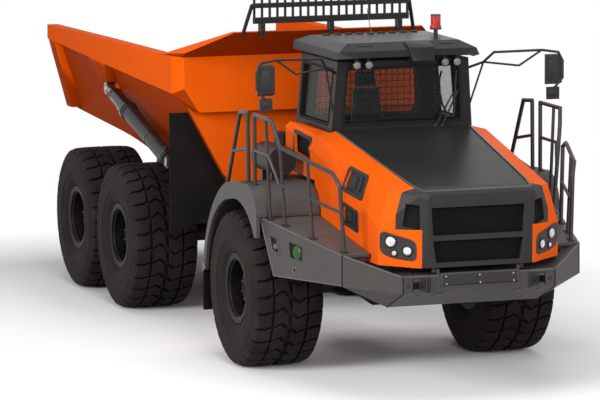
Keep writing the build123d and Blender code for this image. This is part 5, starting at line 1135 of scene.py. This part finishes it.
# X and z of the middle, half width and half height of each mirror
MIRRORS = [(3.1395, 3.015, 0.070, 0.143), (3.1445, 2.7725, 0.056, 0.0505)]
TALL_BACK = [(-0.058, -0.010), (0.058, -0.010), (0.050, 0.205), (-0.050, 0.205)]
mirror_glass = Finish("mirror_glass", metallic=1.0)
spot = mirror_glass.noise(mirror_glass.place(), 8.0, 3.0)
mirror_glass.set(base_color=mirror_glass.mix(spot, (0.66, 0.68, 0.68), (0.74, 0.76, 0.76)),
                 roughness=mirror_glass.ramp(spot, 0.3, 0.8, 0.03, 0.10))
glasses, shells = bmesh.new(), bmesh.new()
for s in (1, -1):
    for x, z, half_w, half_h in MIRRORS:
        stand = facing((x, s * MIRROR_Y, z), (-1, 0, 0))
        slab(glasses, stand, rect(half_w, half_h), 0.0015, 0.020, low=-0.002)
        surround(shells, stand, rect(half_w * 1.06, half_h), 0.008, 0.005, 0.022, -0.003)
    slab(shells, facing((SHELL_X, s * MIRROR_Y, 2.915), AHEAD), TALL_BACK, 0.010, 0.018, 0.006, low=-0.004)
    slab(shells, facing((SHELL_X, s * MIRROR_Y, 2.773), AHEAD), rect(0.045, 0.030), 0.008, 0.014, 0.004,
         low=-0.004)
    for z in CLAMP_Z:
        collar(shells, upright((3.185, s * CLAMP_Y, z)), 0.021, 0.004, 0.030, 16)
put("mirror_glasses", glasses, mirror_glass, "front_chassis")
put("mirror_shells", shells, grille_moulding, "front_chassis")

# --- Operator's seat ----------------------------------------------------------------------------
# The seat is a cushion, a winged back and a headrest of foam under hard-wearing cloth, on a
# sprung pedestal with a bellows. Both armrests hinge up from the back.
THREAD = 0.0042
seat_cloth = Finish("seat_cloth", roughness=0.9, specular_ior_level=0.12, sheen_weight=0.25)
place = seat_cloth.place()
x, y, z = seat_cloth.axes(place)
weave = seat_cloth.wave(x + z, THREAD) * seat_cloth.wave(y, THREAD)
cloud = seat_cloth.noise(place, 9.0, 3.0)
seat_cloth.tone(cloud + weave * 0.15, 0.3, 0.7, (0.010, 0.012, 0.010), (0.024, 0.028, 0.024))
seat_cloth.set(normal=seat_cloth.bump(weave, 0.0006, 0.6))
SEAT_X, SEAT_Y, PAD_VOXEL, PAD_FRAMES, PAD_PRESSURE = 2.27, -0.060, 0.006, 20, 4.0


def stuffed(name, ends_x, half_w, ends_z, crown, cap, lean=0.0, taper=0.0):
    """A sewn foam pad: it swells under pressure inside its cover, as far as the cap lets it."""
    (x0, x1), (z0, z1) = ends_x, ends_z
    low, high = Vector((x0, SEAT_Y - half_w, z0)), Vector((x1, SEAT_Y + half_w, z1))
    shape = bmesh.new()
    bmesh.ops.create_cube(shape, size=1.0)
    bmesh.ops.scale(shape, vec=high - low, verts=shape.verts)
    bmesh.ops.translate(shape, vec=(low + high) / 2, verts=shape.verts)
    bevel(shape, shape.edges[:], crown, 3)
    for v in shape.verts:
        v.co.x += lean * (v.co.z - z0)
        v.co.y += (SEAT_Y - v.co.y) * taper * max(0.0, (v.co.z - z0) / (z1 - z0))
    pad = put(name, shape, seat_cloth, "front_chassis", 80.0)
    remesh = pad.modifiers.new("remesh", "REMESH")
    remesh.mode, remesh.voxel_size = "VOXEL", PAD_VOXEL
    bpy.context.view_layer.update()
    graph = bpy.context.evaluated_depsgraph_get()
    start = bpy.data.meshes.new_from_object(pad.evaluated_get(graph))
    pad.modifiers.clear()
    pad.data = start
    cloth = pad.modifiers.new("cloth", "CLOTH")
    cloth.settings.use_pressure = True
    cloth.settings.uniform_pressure_force = PAD_PRESSURE
    cloth.settings.effector_weights.gravity = 0.0
    for frame_number in range(1, PAD_FRAMES + 1):
        bpy.context.scene.frame_set(frame_number)
    graph = bpy.context.evaluated_depsgraph_get()
    swollen = bpy.data.meshes.new_from_object(pad.evaluated_get(graph))
    pad.modifiers.clear()
    for v, was in zip(swollen.vertices, start.vertices):
        move = v.co - was.co
        v.co = was.co + (move * (cap / move.length) if move.length > cap else move)
    pad.data = swollen
    bpy.context.scene.frame_set(1)
    pad.data.materials.clear()
    pad.data.materials.append(seat_cloth.material)
    pad.data.shade_smooth()


stuffed("seat_cushion", (2.030, 2.510), 0.235, (2.180, 2.280), crown=0.035, cap=0.016)
stuffed("seat_back", (2.022, 2.108), 0.215, (2.320, 2.790), crown=0.035, cap=0.016, lean=-0.17, taper=0.34)
stuffed("seat_headrest", (1.958, 2.012), 0.125, (2.784, 2.955), crown=0.022, cap=0.010, lean=-0.10,
        taper=0.12)

# half length, half width, foot and height of the pedestal's base and of the seat's pan
SEAT_PLATES = [(0.17, 0.15, 1.862, 0.038), (0.20, 0.18, 2.118, 0.042)]
BELLOWS_FOOT, BELLOWS_PITCH, BELLOWS_R = 1.900, 0.036, 0.150
ARM, ARM_Y, ARM_HALF_W = [(2.085, 2.425), (2.395, 2.425), (2.400, 2.468), (2.085, 2.468)], 0.292, 0.029
chair = bmesh.new()
for half_long, half_w, z, tall in SEAT_PLATES:
    slab(chair, Matrix.Translation((SEAT_X, SEAT_Y, z)), rect(half_long, half_w), tall, 0.030, 0.010)
for k in range(6):
    collar(chair, upright((SEAT_X, SEAT_Y, BELLOWS_FOOT + BELLOWS_PITCH * k)), BELLOWS_R, 0.010, 0.030, 28)
for s in (1, -1):
    y = SEAT_Y + s * ARM_Y
    slab(chair, facing((0, y - ARM_HALF_W, 0), LEFT), [(-x, z) for x, z in ARM], 2 * ARM_HALF_W, 0.016, 0.010)
    bar(chair, (2.115, y, 2.265), (2.105, y, 2.430), 0.014, 10)
    bar(chair, (2.125, y, 2.275), (2.125, SEAT_Y + s * 0.200, 2.230), 0.014, 10)
    bar(chair, (1.995, SEAT_Y + s * 0.05, 2.760), (1.984, SEAT_Y + s * 0.05, 2.860), 0.007, 8)
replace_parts(put("seat_frame", chair, grille_moulding, "front_chassis"), "seat")

# --- Dashboard and wheel trim -------------------------------------------------------------------
# The dash is a stippled moulding over a steel frame. It carries a hooded screen and a row of
# rocker switches, and the steering wheel has a padded boss on its column.
HOOD_PLACE, HOOD_OUT = (2.712, SEAT_Y, 2.408), (-0.55, 0, 0.84)
SWITCH_X, SWITCH_Y, SWITCH_Z, SWITCH_PITCH, SWITCH_OUT = 2.690, 0.20, 2.372, 0.045, (-0.66, 0, 0.75)
WHEEL_PLACE, WHEEL_AXIS = Vector((2.600, SEAT_Y, 2.470)), Vector((-0.414, 0, 0.910))
trim, screen = bmesh.new(), bmesh.new()
hood_stand = facing(HOOD_PLACE, HOOD_OUT)
slab(trim, hood_stand, rect(0.17, 0.065, v=0.010), 0.022, 0.020, 0.005, rim=0.014, sunk=0.010)
slab(screen, hood_stand, rect(0.135, 0.0365, v=0.0115), 0.014, 0.006)
for k in range(6):
    slab(trim, facing((SWITCH_X, SWITCH_Y + SWITCH_PITCH * k, SWITCH_Z), SWITCH_OUT), rect(0.014, 0.022),
         0.008, 0.004, 0.002)
collar(trim, facing(WHEEL_PLACE + WHEEL_AXIS * 0.011, WHEEL_AXIS, AHEAD), 0.046, 0.004, 0.022, 24)
put("dash_trim", trim, grille_moulding, "front_chassis")
put("dash_screen", screen, gloss_black, "front_chassis")

# --- Bin ----------------------------------------------------------------------------------------
# The bin is welded from wear plate, with hollow top rails. Weld beads run along its knees and
# joints, the floor is scoured by loads, and bolts hold its guard, its flaps and their clamps.
SCOURED_STEEL = (0.16, 0.125, 0.105)
scoured = enamel("scoured_enamel", ORANGE, ORANGE_WORN, 0.38, gloss=0.02)
place = scoured.place()
stretched = scoured.node("Mapping", (), {"Vector": place, "Scale": (0.5, 14.0, 6.0)})
upward = scoured.axes(scoured.node("NewGeometry", output="True Normal"))[2] > 0.35
scratch = scoured.ramp(scoured.noise(stretched, 3.0, 5.0), 0.50, 0.66) * upward
scratch = scratch * scoured.ramp(scoured.noise(place, 1.6, 5.0), 0.35, 0.6)
scoured.set(base_color=scoured.mix(scratch * 0.8, scoured.tint, SCOURED_STEEL),
            metallic=scratch * 0.5, normal=scoured.bump(scratch, 0.002, 0.5, scoured.soft))
repaint(scoured, "bin_floor")

BEAD_R, BEAD_LAP = 0.007, 1.15
# ripple pitch, and X, |y| and z of the ends, of the beads along the floor's edge and up the knee
WELDS = [(0.05, (-0.200, 0.700, 1.398), (-2.600, 0.700, 1.398)),
         (0.05, (-2.600, 0.700, 1.398), (-5.060, 0.720, 1.868)),
         (0.03, (-2.600, 0.921, 1.680), (-2.600, 0.700, 1.400))]


def bead(mesh, first, last, pitch):
    """A weld bead: a line of overlapping ripples along a joint."""
    count = max(2, int((last - first).length / pitch))
    for k in range(count):
        a, b = (first.lerp(last, (k + end) / count) for end in (0.0, BEAD_LAP))
        bar(mesh, a, b, BEAD_R, 6, BEAD_R * 0.72)


welds = bmesh.new()
for s in (1, -1):
    for pitch, *ends in WELDS:
        bead(welds, *on_side(s, ends), pitch)
put("bin_welds", welds, bin_enamel, "bin")

# Box plates stiffen each side: a post down the tail's corner and a gusset over the hoist's eye.
# X of the rear and front edge, |y| outside, |y| inside and z, at the head and at the foot
STIFFENERS = [((-5.072, -4.830, 1.484, 1.360, 2.742), (-5.072, -4.880, 1.265, 1.095, 1.930)),
              ((-3.420, -2.760, 1.474, 1.330, 2.668), (-3.060, -2.850, 1.440, 1.250, 2.440))]
STIFFENER_EDGE, SAME_PLANE = 0.012, 0.02
stiffeners = bmesh.new()
for s in (1, -1):
    for ends in STIFFENERS:
        plate = bmesh.new()
        for rear, fore, outside, inside, high in ends:
            for x, y in ((rear, outside), (fore, outside), (rear, inside), (fore, inside)):
                plate.verts.new((x, s * y, high))
        bmesh.ops.convex_hull(plate, input=plate.verts[:])
        bmesh.ops.dissolve_limit(plate, angle_limit=SAME_PLANE, verts=plate.verts[:], edges=plate.edges[:])
        bevel(plate, plate.edges[:], STIFFENER_EDGE, 2)
        bmesh.ops.recalc_face_normals(plate, faces=plate.faces)
        placed(stiffeners, plate, Matrix())
put("bin_side_stiffeners", stiffeners, bin_enamel, "bin")

GUARD_BOLT_X, GUARD_BOLT_Y, GUARD_BOLT_Z = 0.790, (-0.770, 0.0, 0.770), (3.290, 3.345)
# X of the flap's face, and |y| and z of the ends of its bolted edge
FLAP_FACE_X, FLAP_TOP, FLAP_FOOT = -0.258, (1.400, 2.340), (0.945, 1.700)
FLAP_BOLTS, FLAP_BOLT_IN, STRIP_IN, STRIP_OUT = 7, 0.035, 0.008, 0.055
bolts, clamps = bmesh.new(), bmesh.new()
for y in GUARD_BOLT_Y:
    for z in GUARD_BOLT_Z:
        nut(bolts, (GUARD_BOLT_X, y, z), AHEAD, 0.011, 0.012)
for s in (1, -1):
    for k in range(FLAP_BOLTS):
        y, z = (a + (b - a) * (k + 0.5) / FLAP_BOLTS for a, b in zip(FLAP_TOP, FLAP_FOOT))
        point = touch("bin_splash_flaps", (0.5, s * (y + FLAP_BOLT_IN), z), (-1, 0, 0))[0]
        nut(clamps, point + Vector((0.005, 0, 0)), AHEAD, 0.011, 0.012)
    strip = [(s * (y + side), z) for (y, z), side in ((FLAP_TOP, STRIP_IN), (FLAP_TOP, STRIP_OUT),
                                                      (FLAP_FOOT, STRIP_OUT), (FLAP_FOOT, STRIP_IN))]
    slab(clamps, facing((FLAP_FACE_X, 0, 0), AHEAD), strip, 0.005, 0.004, 0.001, low=-0.001)
put("bin_bolts", bolts, frame_enamel, "bin")
put("flap_clamps", clamps, flap_rubber, "bin")

# --- Hoist and steering cylinders ---------------------------------------------------------------
# Barrels are painted dark with the frame. The middle stages and rods are ground and hard-chromed,
# each gland nut is notched for a hook spanner, and every pin has a bolted cap.
SIDES = ((1, "left"), (-1, "right"))
cylinder_enamel = enamel("cylinder_enamel", (0.016, 0.0135, 0.0125), BLACK_WORN, 0.38, gloss=0.25)
chrome = Finish("hard_chrome", metallic=1.0)
place = chrome.place()
fine, smear = chrome.noise(place, 90.0, 2.0), chrome.noise(place, 5.0, 4.0)
chrome.tone(smear, 0.35, 0.7, (0.40, 0.365, 0.345), (0.25, 0.225, 0.21))
chrome.set(roughness=chrome.ramp(smear + fine * 0.3, 0.4, 0.9, 0.22, 0.42),
           normal=chrome.bump(fine, 0.0003, 0.3))
for _, side in SIDES:
    repaint(cylinder_enamel, f"hoist_barrel_{side}", f"steering_barrel_{side}")
    repaint(chrome, f"hoist_stage_{side}", f"hoist_rod_{side}", f"steering_rod_{side}")

HOIST_FOOT, HOIST_EYE = (-0.650, 1.360, 1.769), (-2.950, 1.360, 2.349)  # X, |y| and z of the pins
BARREL_END, STAGE_END = 1.650, 2.170  # along the cylinder, from its lower pin
# distance along, outer and inner radius, length and count of spanner notches
BARREL_RINGS = [(BARREL_END - 0.062, 0.106, 0.0985, 0.060, 8), (BARREL_END + 0.001, 0.092, 0.074, 0.010, 0),
                (0.100, 0.096, 0.089, 0.024, 0), (0.700, 0.0945, 0.089, 0.030, 0)]
STAGE_RINGS = [(STAGE_END - 0.050, 0.0785, 0.0695, 0.048, 8), (BARREL_END + 0.014, 0.084, 0.0695, 0.170, 0),
               (BARREL_END + 0.180, 0.0755, 0.0695, STAGE_END - BARREL_END - 0.226, 0),
               (STAGE_END + 0.001, 0.069, 0.049, 0.008, 0)]
NOTCH_R, NOTCH_DEEP, NOTCH_IN = 0.006, 0.002, 0.008
PORT_ALONG, PORT_OUT, PORT_LEAN = 0.150, Vector((0, 0, 0.086)), (0.24, 0, 0.97)
EYE_HALF, CAP_TALL = 0.045, 0.008


def sleeve(mesh, foot, axis, along, outer, inner, tall, notches):
    """A ring about the cylinder, with notches for a spanner."""
    stand = facing(foot + axis * along, axis, LEFT)
    collar(mesh, stand, outer, inner, tall)
    for k in range(notches):
        notch = stand @ Matrix.Rotation(2 * pi * k / notches, 4, "Z")
        ends = [notch @ Vector((outer - NOTCH_DEEP, 0, z)) for z in (NOTCH_IN, tall - NOTCH_IN)]
        bars(mesh, ends, NOTCH_R, 6)


for s, side in SIDES:
    foot, eye = on_side(s, [HOIST_FOOT, HOIST_EYE])
    axis = (eye - foot).normalized()
    barrel_trim, stage_trim = bmesh.new(), bmesh.new()
    for mesh, rings in ((barrel_trim, BARREL_RINGS), (stage_trim, STAGE_RINGS)):
        for ring in rings:
            sleeve(mesh, foot, axis, *ring)
    slab(barrel_trim, facing(foot + axis * PORT_ALONG + PORT_OUT, PORT_LEAN, LEFT), rect(0.024, 0.018),
         0.022, 0.005, 0.003)
    put(f"hoist_barrel_trim_{side}", barrel_trim, gloss_black, f"hoist_barrel_{side}")
    put(f"hoist_stage_trim_{side}", stage_trim, gloss_black, f"hoist_stage_{side}")
    for name, at, proud, radius, body, slot in (
            ("foot", foot, 0.0085, 0.052, "rear_chassis", "frame_paint"),
            ("eye", eye, 0.0005, 0.050, f"hoist_rod_{side}", "rod_chrome")):
        caps = bmesh.new()
        stand = facing(at + Vector((0, s * (EYE_HALF + proud), 0)), (0, s, 0))
        collar(caps, stand, radius, 0.004, CAP_TALL)
        for u, v in on_circle(4, 0.5):
            place = stand @ Vector((radius * 0.62 * u, radius * 0.62 * v, CAP_TALL))
            nut(caps, place, (0, s, 0), 0.007, 0.008)
        put(f"hoist_pin_cap_{name}_{side}", caps, bright_steel, body)

# --- Axles --------------------------------------------------------------------------------------
# Axle housings are cast iron, left in dark primer. Each differential is closed in front and
# behind by a domed cover on a ring of bolts.
axle_iron = Finish("axle_iron", specular_ior_level=0.2)
place = axle_iron.place()
sand, blotch = axle_iron.noise(place, 70.0, 3.0), axle_iron.noise(place, 3.0, 4.0)
axle_iron.tone(blotch, 0.35, 0.7, (0.012, 0.0115, 0.011), (0.040, 0.034, 0.029))
axle_iron.set(roughness=axle_iron.ramp(blotch + sand * 0.4, 0.5, 1.0, 0.5, 0.75),
              normal=axle_iron.bump(sand, 0.0016, 0.6))
repaint(axle_iron, "front_axle", "middle_axle", "rear_axle", "engine")

AXLE_Z, AXLE_REACH, COVER_NEAR = 0.806, 0.9, 0.5
AXLES = [("front_axle", 2.300, "front_chassis"), ("middle_axle", -1.881, "rear_chassis"),
         ("rear_axle", -3.551, "rear_chassis")]
for node, axle_x, body in AXLES:
    covers = bmesh.new()
    for way in (1, -1):
        point, _ = touch(node, (axle_x + way * AXLE_REACH, 0.0, AXLE_Z), (-way, 0, 0))
        if point is None or abs(point.x - axle_x) > COVER_NEAR:
            continue
        stand = facing(point, (way, 0, 0))
        collar(covers, stand, 0.150, 0.095, 0.018, 40)
        lens(covers, stand @ Matrix.Translation((0, 0, 0.004)), 0.094, 0.040, 32)
        for u, v in on_circle(12):
            nut(covers, stand @ Vector((0.128 * u, 0.128 * v, 0.018)), (way, 0, 0), 0.009, 0.010)
    put(f"{node}_covers", covers, axle_iron, body)

# --- Power unit ---------------------------------------------------------------------------------
# Under the hood the cast engine carries its rocker covers, ribs and belt drive. In front of it
# a fan turns in its shroud behind the finned aluminium radiator.
fins = Finish("radiator_fins", roughness=0.5, metallic=0.3)
x, y, z = fins.axes(fins.place())
fin, tube = fins.wave(z, 0.006), fins.wave(y, 0.030) > 0.55
between_tubes = fins.mix(fins.ramp(fin, -0.4, 0.6), (0.010, 0.010, 0.010), (0.050, 0.050, 0.050))
fins.set(base_color=fins.mix(tube, between_tubes, (0.075, 0.072, 0.070)),
         normal=fins.bump(fin * 0.4 + tube, 0.002, 0.6))
repaint(fins, "radiator")

engine_low, engine_high = (Vector(c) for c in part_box("engine"))
COVER_COUNT, COVER_START, COVER_PITCH, COVER_Y, COVER_BOLTS_Y = 6, 0.175, 0.165, -0.05, (-0.13, 0.03)
RIB_COUNT, RIB_START, RIB_SPACING, RIB_FOOT, RIB_TOP = 14, 0.08, 0.075, 0.12, 0.14
motor, belts, motor_bolts = bmesh.new(), bmesh.new(), bmesh.new()
for k in range(COVER_COUNT):
    x = engine_low.x + COVER_START + COVER_PITCH * k
    slab(motor, Matrix.Translation((x, COVER_Y, engine_high.z)), rect(0.075, 0.10), 0.012, 0.020, 0.008,
         rim=0.020, sunk=0.004, low=-0.01)
    for y in COVER_BOLTS_Y:
        nut(motor_bolts, (x, y, engine_high.z + 0.010), UP, 0.009, 0.009)
for k in range(RIB_COUNT):
    x = engine_low.x + RIB_START + RIB_SPACING * k
    for y in (engine_high.y, -engine_high.y):
        bar(motor, (x, y, engine_low.z + RIB_FOOT), (x, y, engine_high.z - RIB_TOP), 0.010)
PULLEYS = [(0.0, 1.32, 0.130), (0.19, 1.62, 0.075), (-0.18, 1.60, 0.090), (0.02, 1.78, 0.060)]  # y, z, radius
BELT_X, BELT_R = engine_high.x + 0.014, 0.007
for y, z, radius in PULLEYS:
    stand = facing((engine_high.x, y, z), AHEAD)
    collar(motor, stand, radius, 0.024, 0.030, 36)
    for lift in (0.006, 0.016):
        collar(belts, stand @ Matrix.Translation((0, 0, lift)), radius + 0.004, radius - 0.004, 0.008, 36)
    nut(motor_bolts, stand @ Vector((0, 0, 0.014)), AHEAD, 0.020, 0.018)
for (ya, za, ra), (yb, zb, rb) in zip(PULLEYS, PULLEYS[1:] + PULLEYS[:1]):
    along = Vector((yb - ya, zb - za)).normalized()
    bar(belts, (BELT_X, ya + along.y * ra, za - along.x * ra),
        (BELT_X, yb + along.y * rb, zb - along.x * rb), BELT_R)
BLADE_COUNT, BLADE_LIFT, BLADE_TWIST = 9, 0.024, 0.35
BLADE = [(-0.030, 0.04), (0.030, 0.04), (0.050, 0.310), (-0.050, 0.325)]
shroud = facing((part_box("radiator")[0][0], 0.0, 1.56), (-1, 0, 0))
collar(belts, shroud, 0.350, 0.335, 0.045, 48)
for k in range(BLADE_COUNT):
    root = Matrix.Rotation(2 * pi * k / BLADE_COUNT, 4, "Z") @ Matrix.Translation((0, 0, BLADE_LIFT))
    slab(belts, shroud @ root @ Matrix.Rotation(BLADE_TWIST, 4, "Y"), BLADE, 0.004, 0.012)
collar(belts, shroud, 0.055, 0.004, 0.040, 24)
put("engine_covers", motor, axle_iron, "front_chassis")
put("engine_bolts", motor_bolts, bright_steel, "front_chassis")
put("fan_and_belts", belts, gloss_black, "front_chassis")

# --- Tail lamps ---------------------------------------------------------------------------------
# The tail lamps are round and fluted, three on a side in rubber rings. Their steel plate is
# bolted to the last cross member, beside the hitch.
TAIL_Y, TAIL_Z, TAIL_PITCH = 0.400, 1.100, 0.080
plates, tail_red, tail_amber = bmesh.new(), bmesh.new(), bmesh.new()
frame_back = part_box("rear_frame")[0][0]
for s in (1, -1):
    point, _ = touch("rear_frame", (frame_back - 1.0, s * TAIL_Y, TAIL_Z + 0.03), AHEAD)
    stand = facing((point.x, s * TAIL_Y, TAIL_Z), (-1, 0, 0))
    slab(plates, stand, rect(0.040, 0.130), 0.010, 0.010, 0.003, low=-0.002)
    for k, mesh in ((-1, tail_red), (0, tail_amber), (1, tail_red)):
        lamp_stand = stand @ Matrix.Translation((0, TAIL_PITCH * k, 0.010))
        collar(plates, lamp_stand, 0.036, 0.029, 0.014, 24)
        lens(mesh, lamp_stand, 0.030, 0.012, 24)
put("tail_lamp_plates", plates, frame_enamel, "rear_chassis")
for name, mesh, dark, pale in (("tail_lamps_red", tail_red, (0.22, 0.010, 0.008), (0.42, 0.030, 0.020)),
                               ("tail_lamps_amber", tail_amber, (0.42, 0.11, 0.008), (0.62, 0.22, 0.02))):
    put(name, mesh, fluted(name, 2, 0.007, dark, pale, 0.5), "rear_chassis")
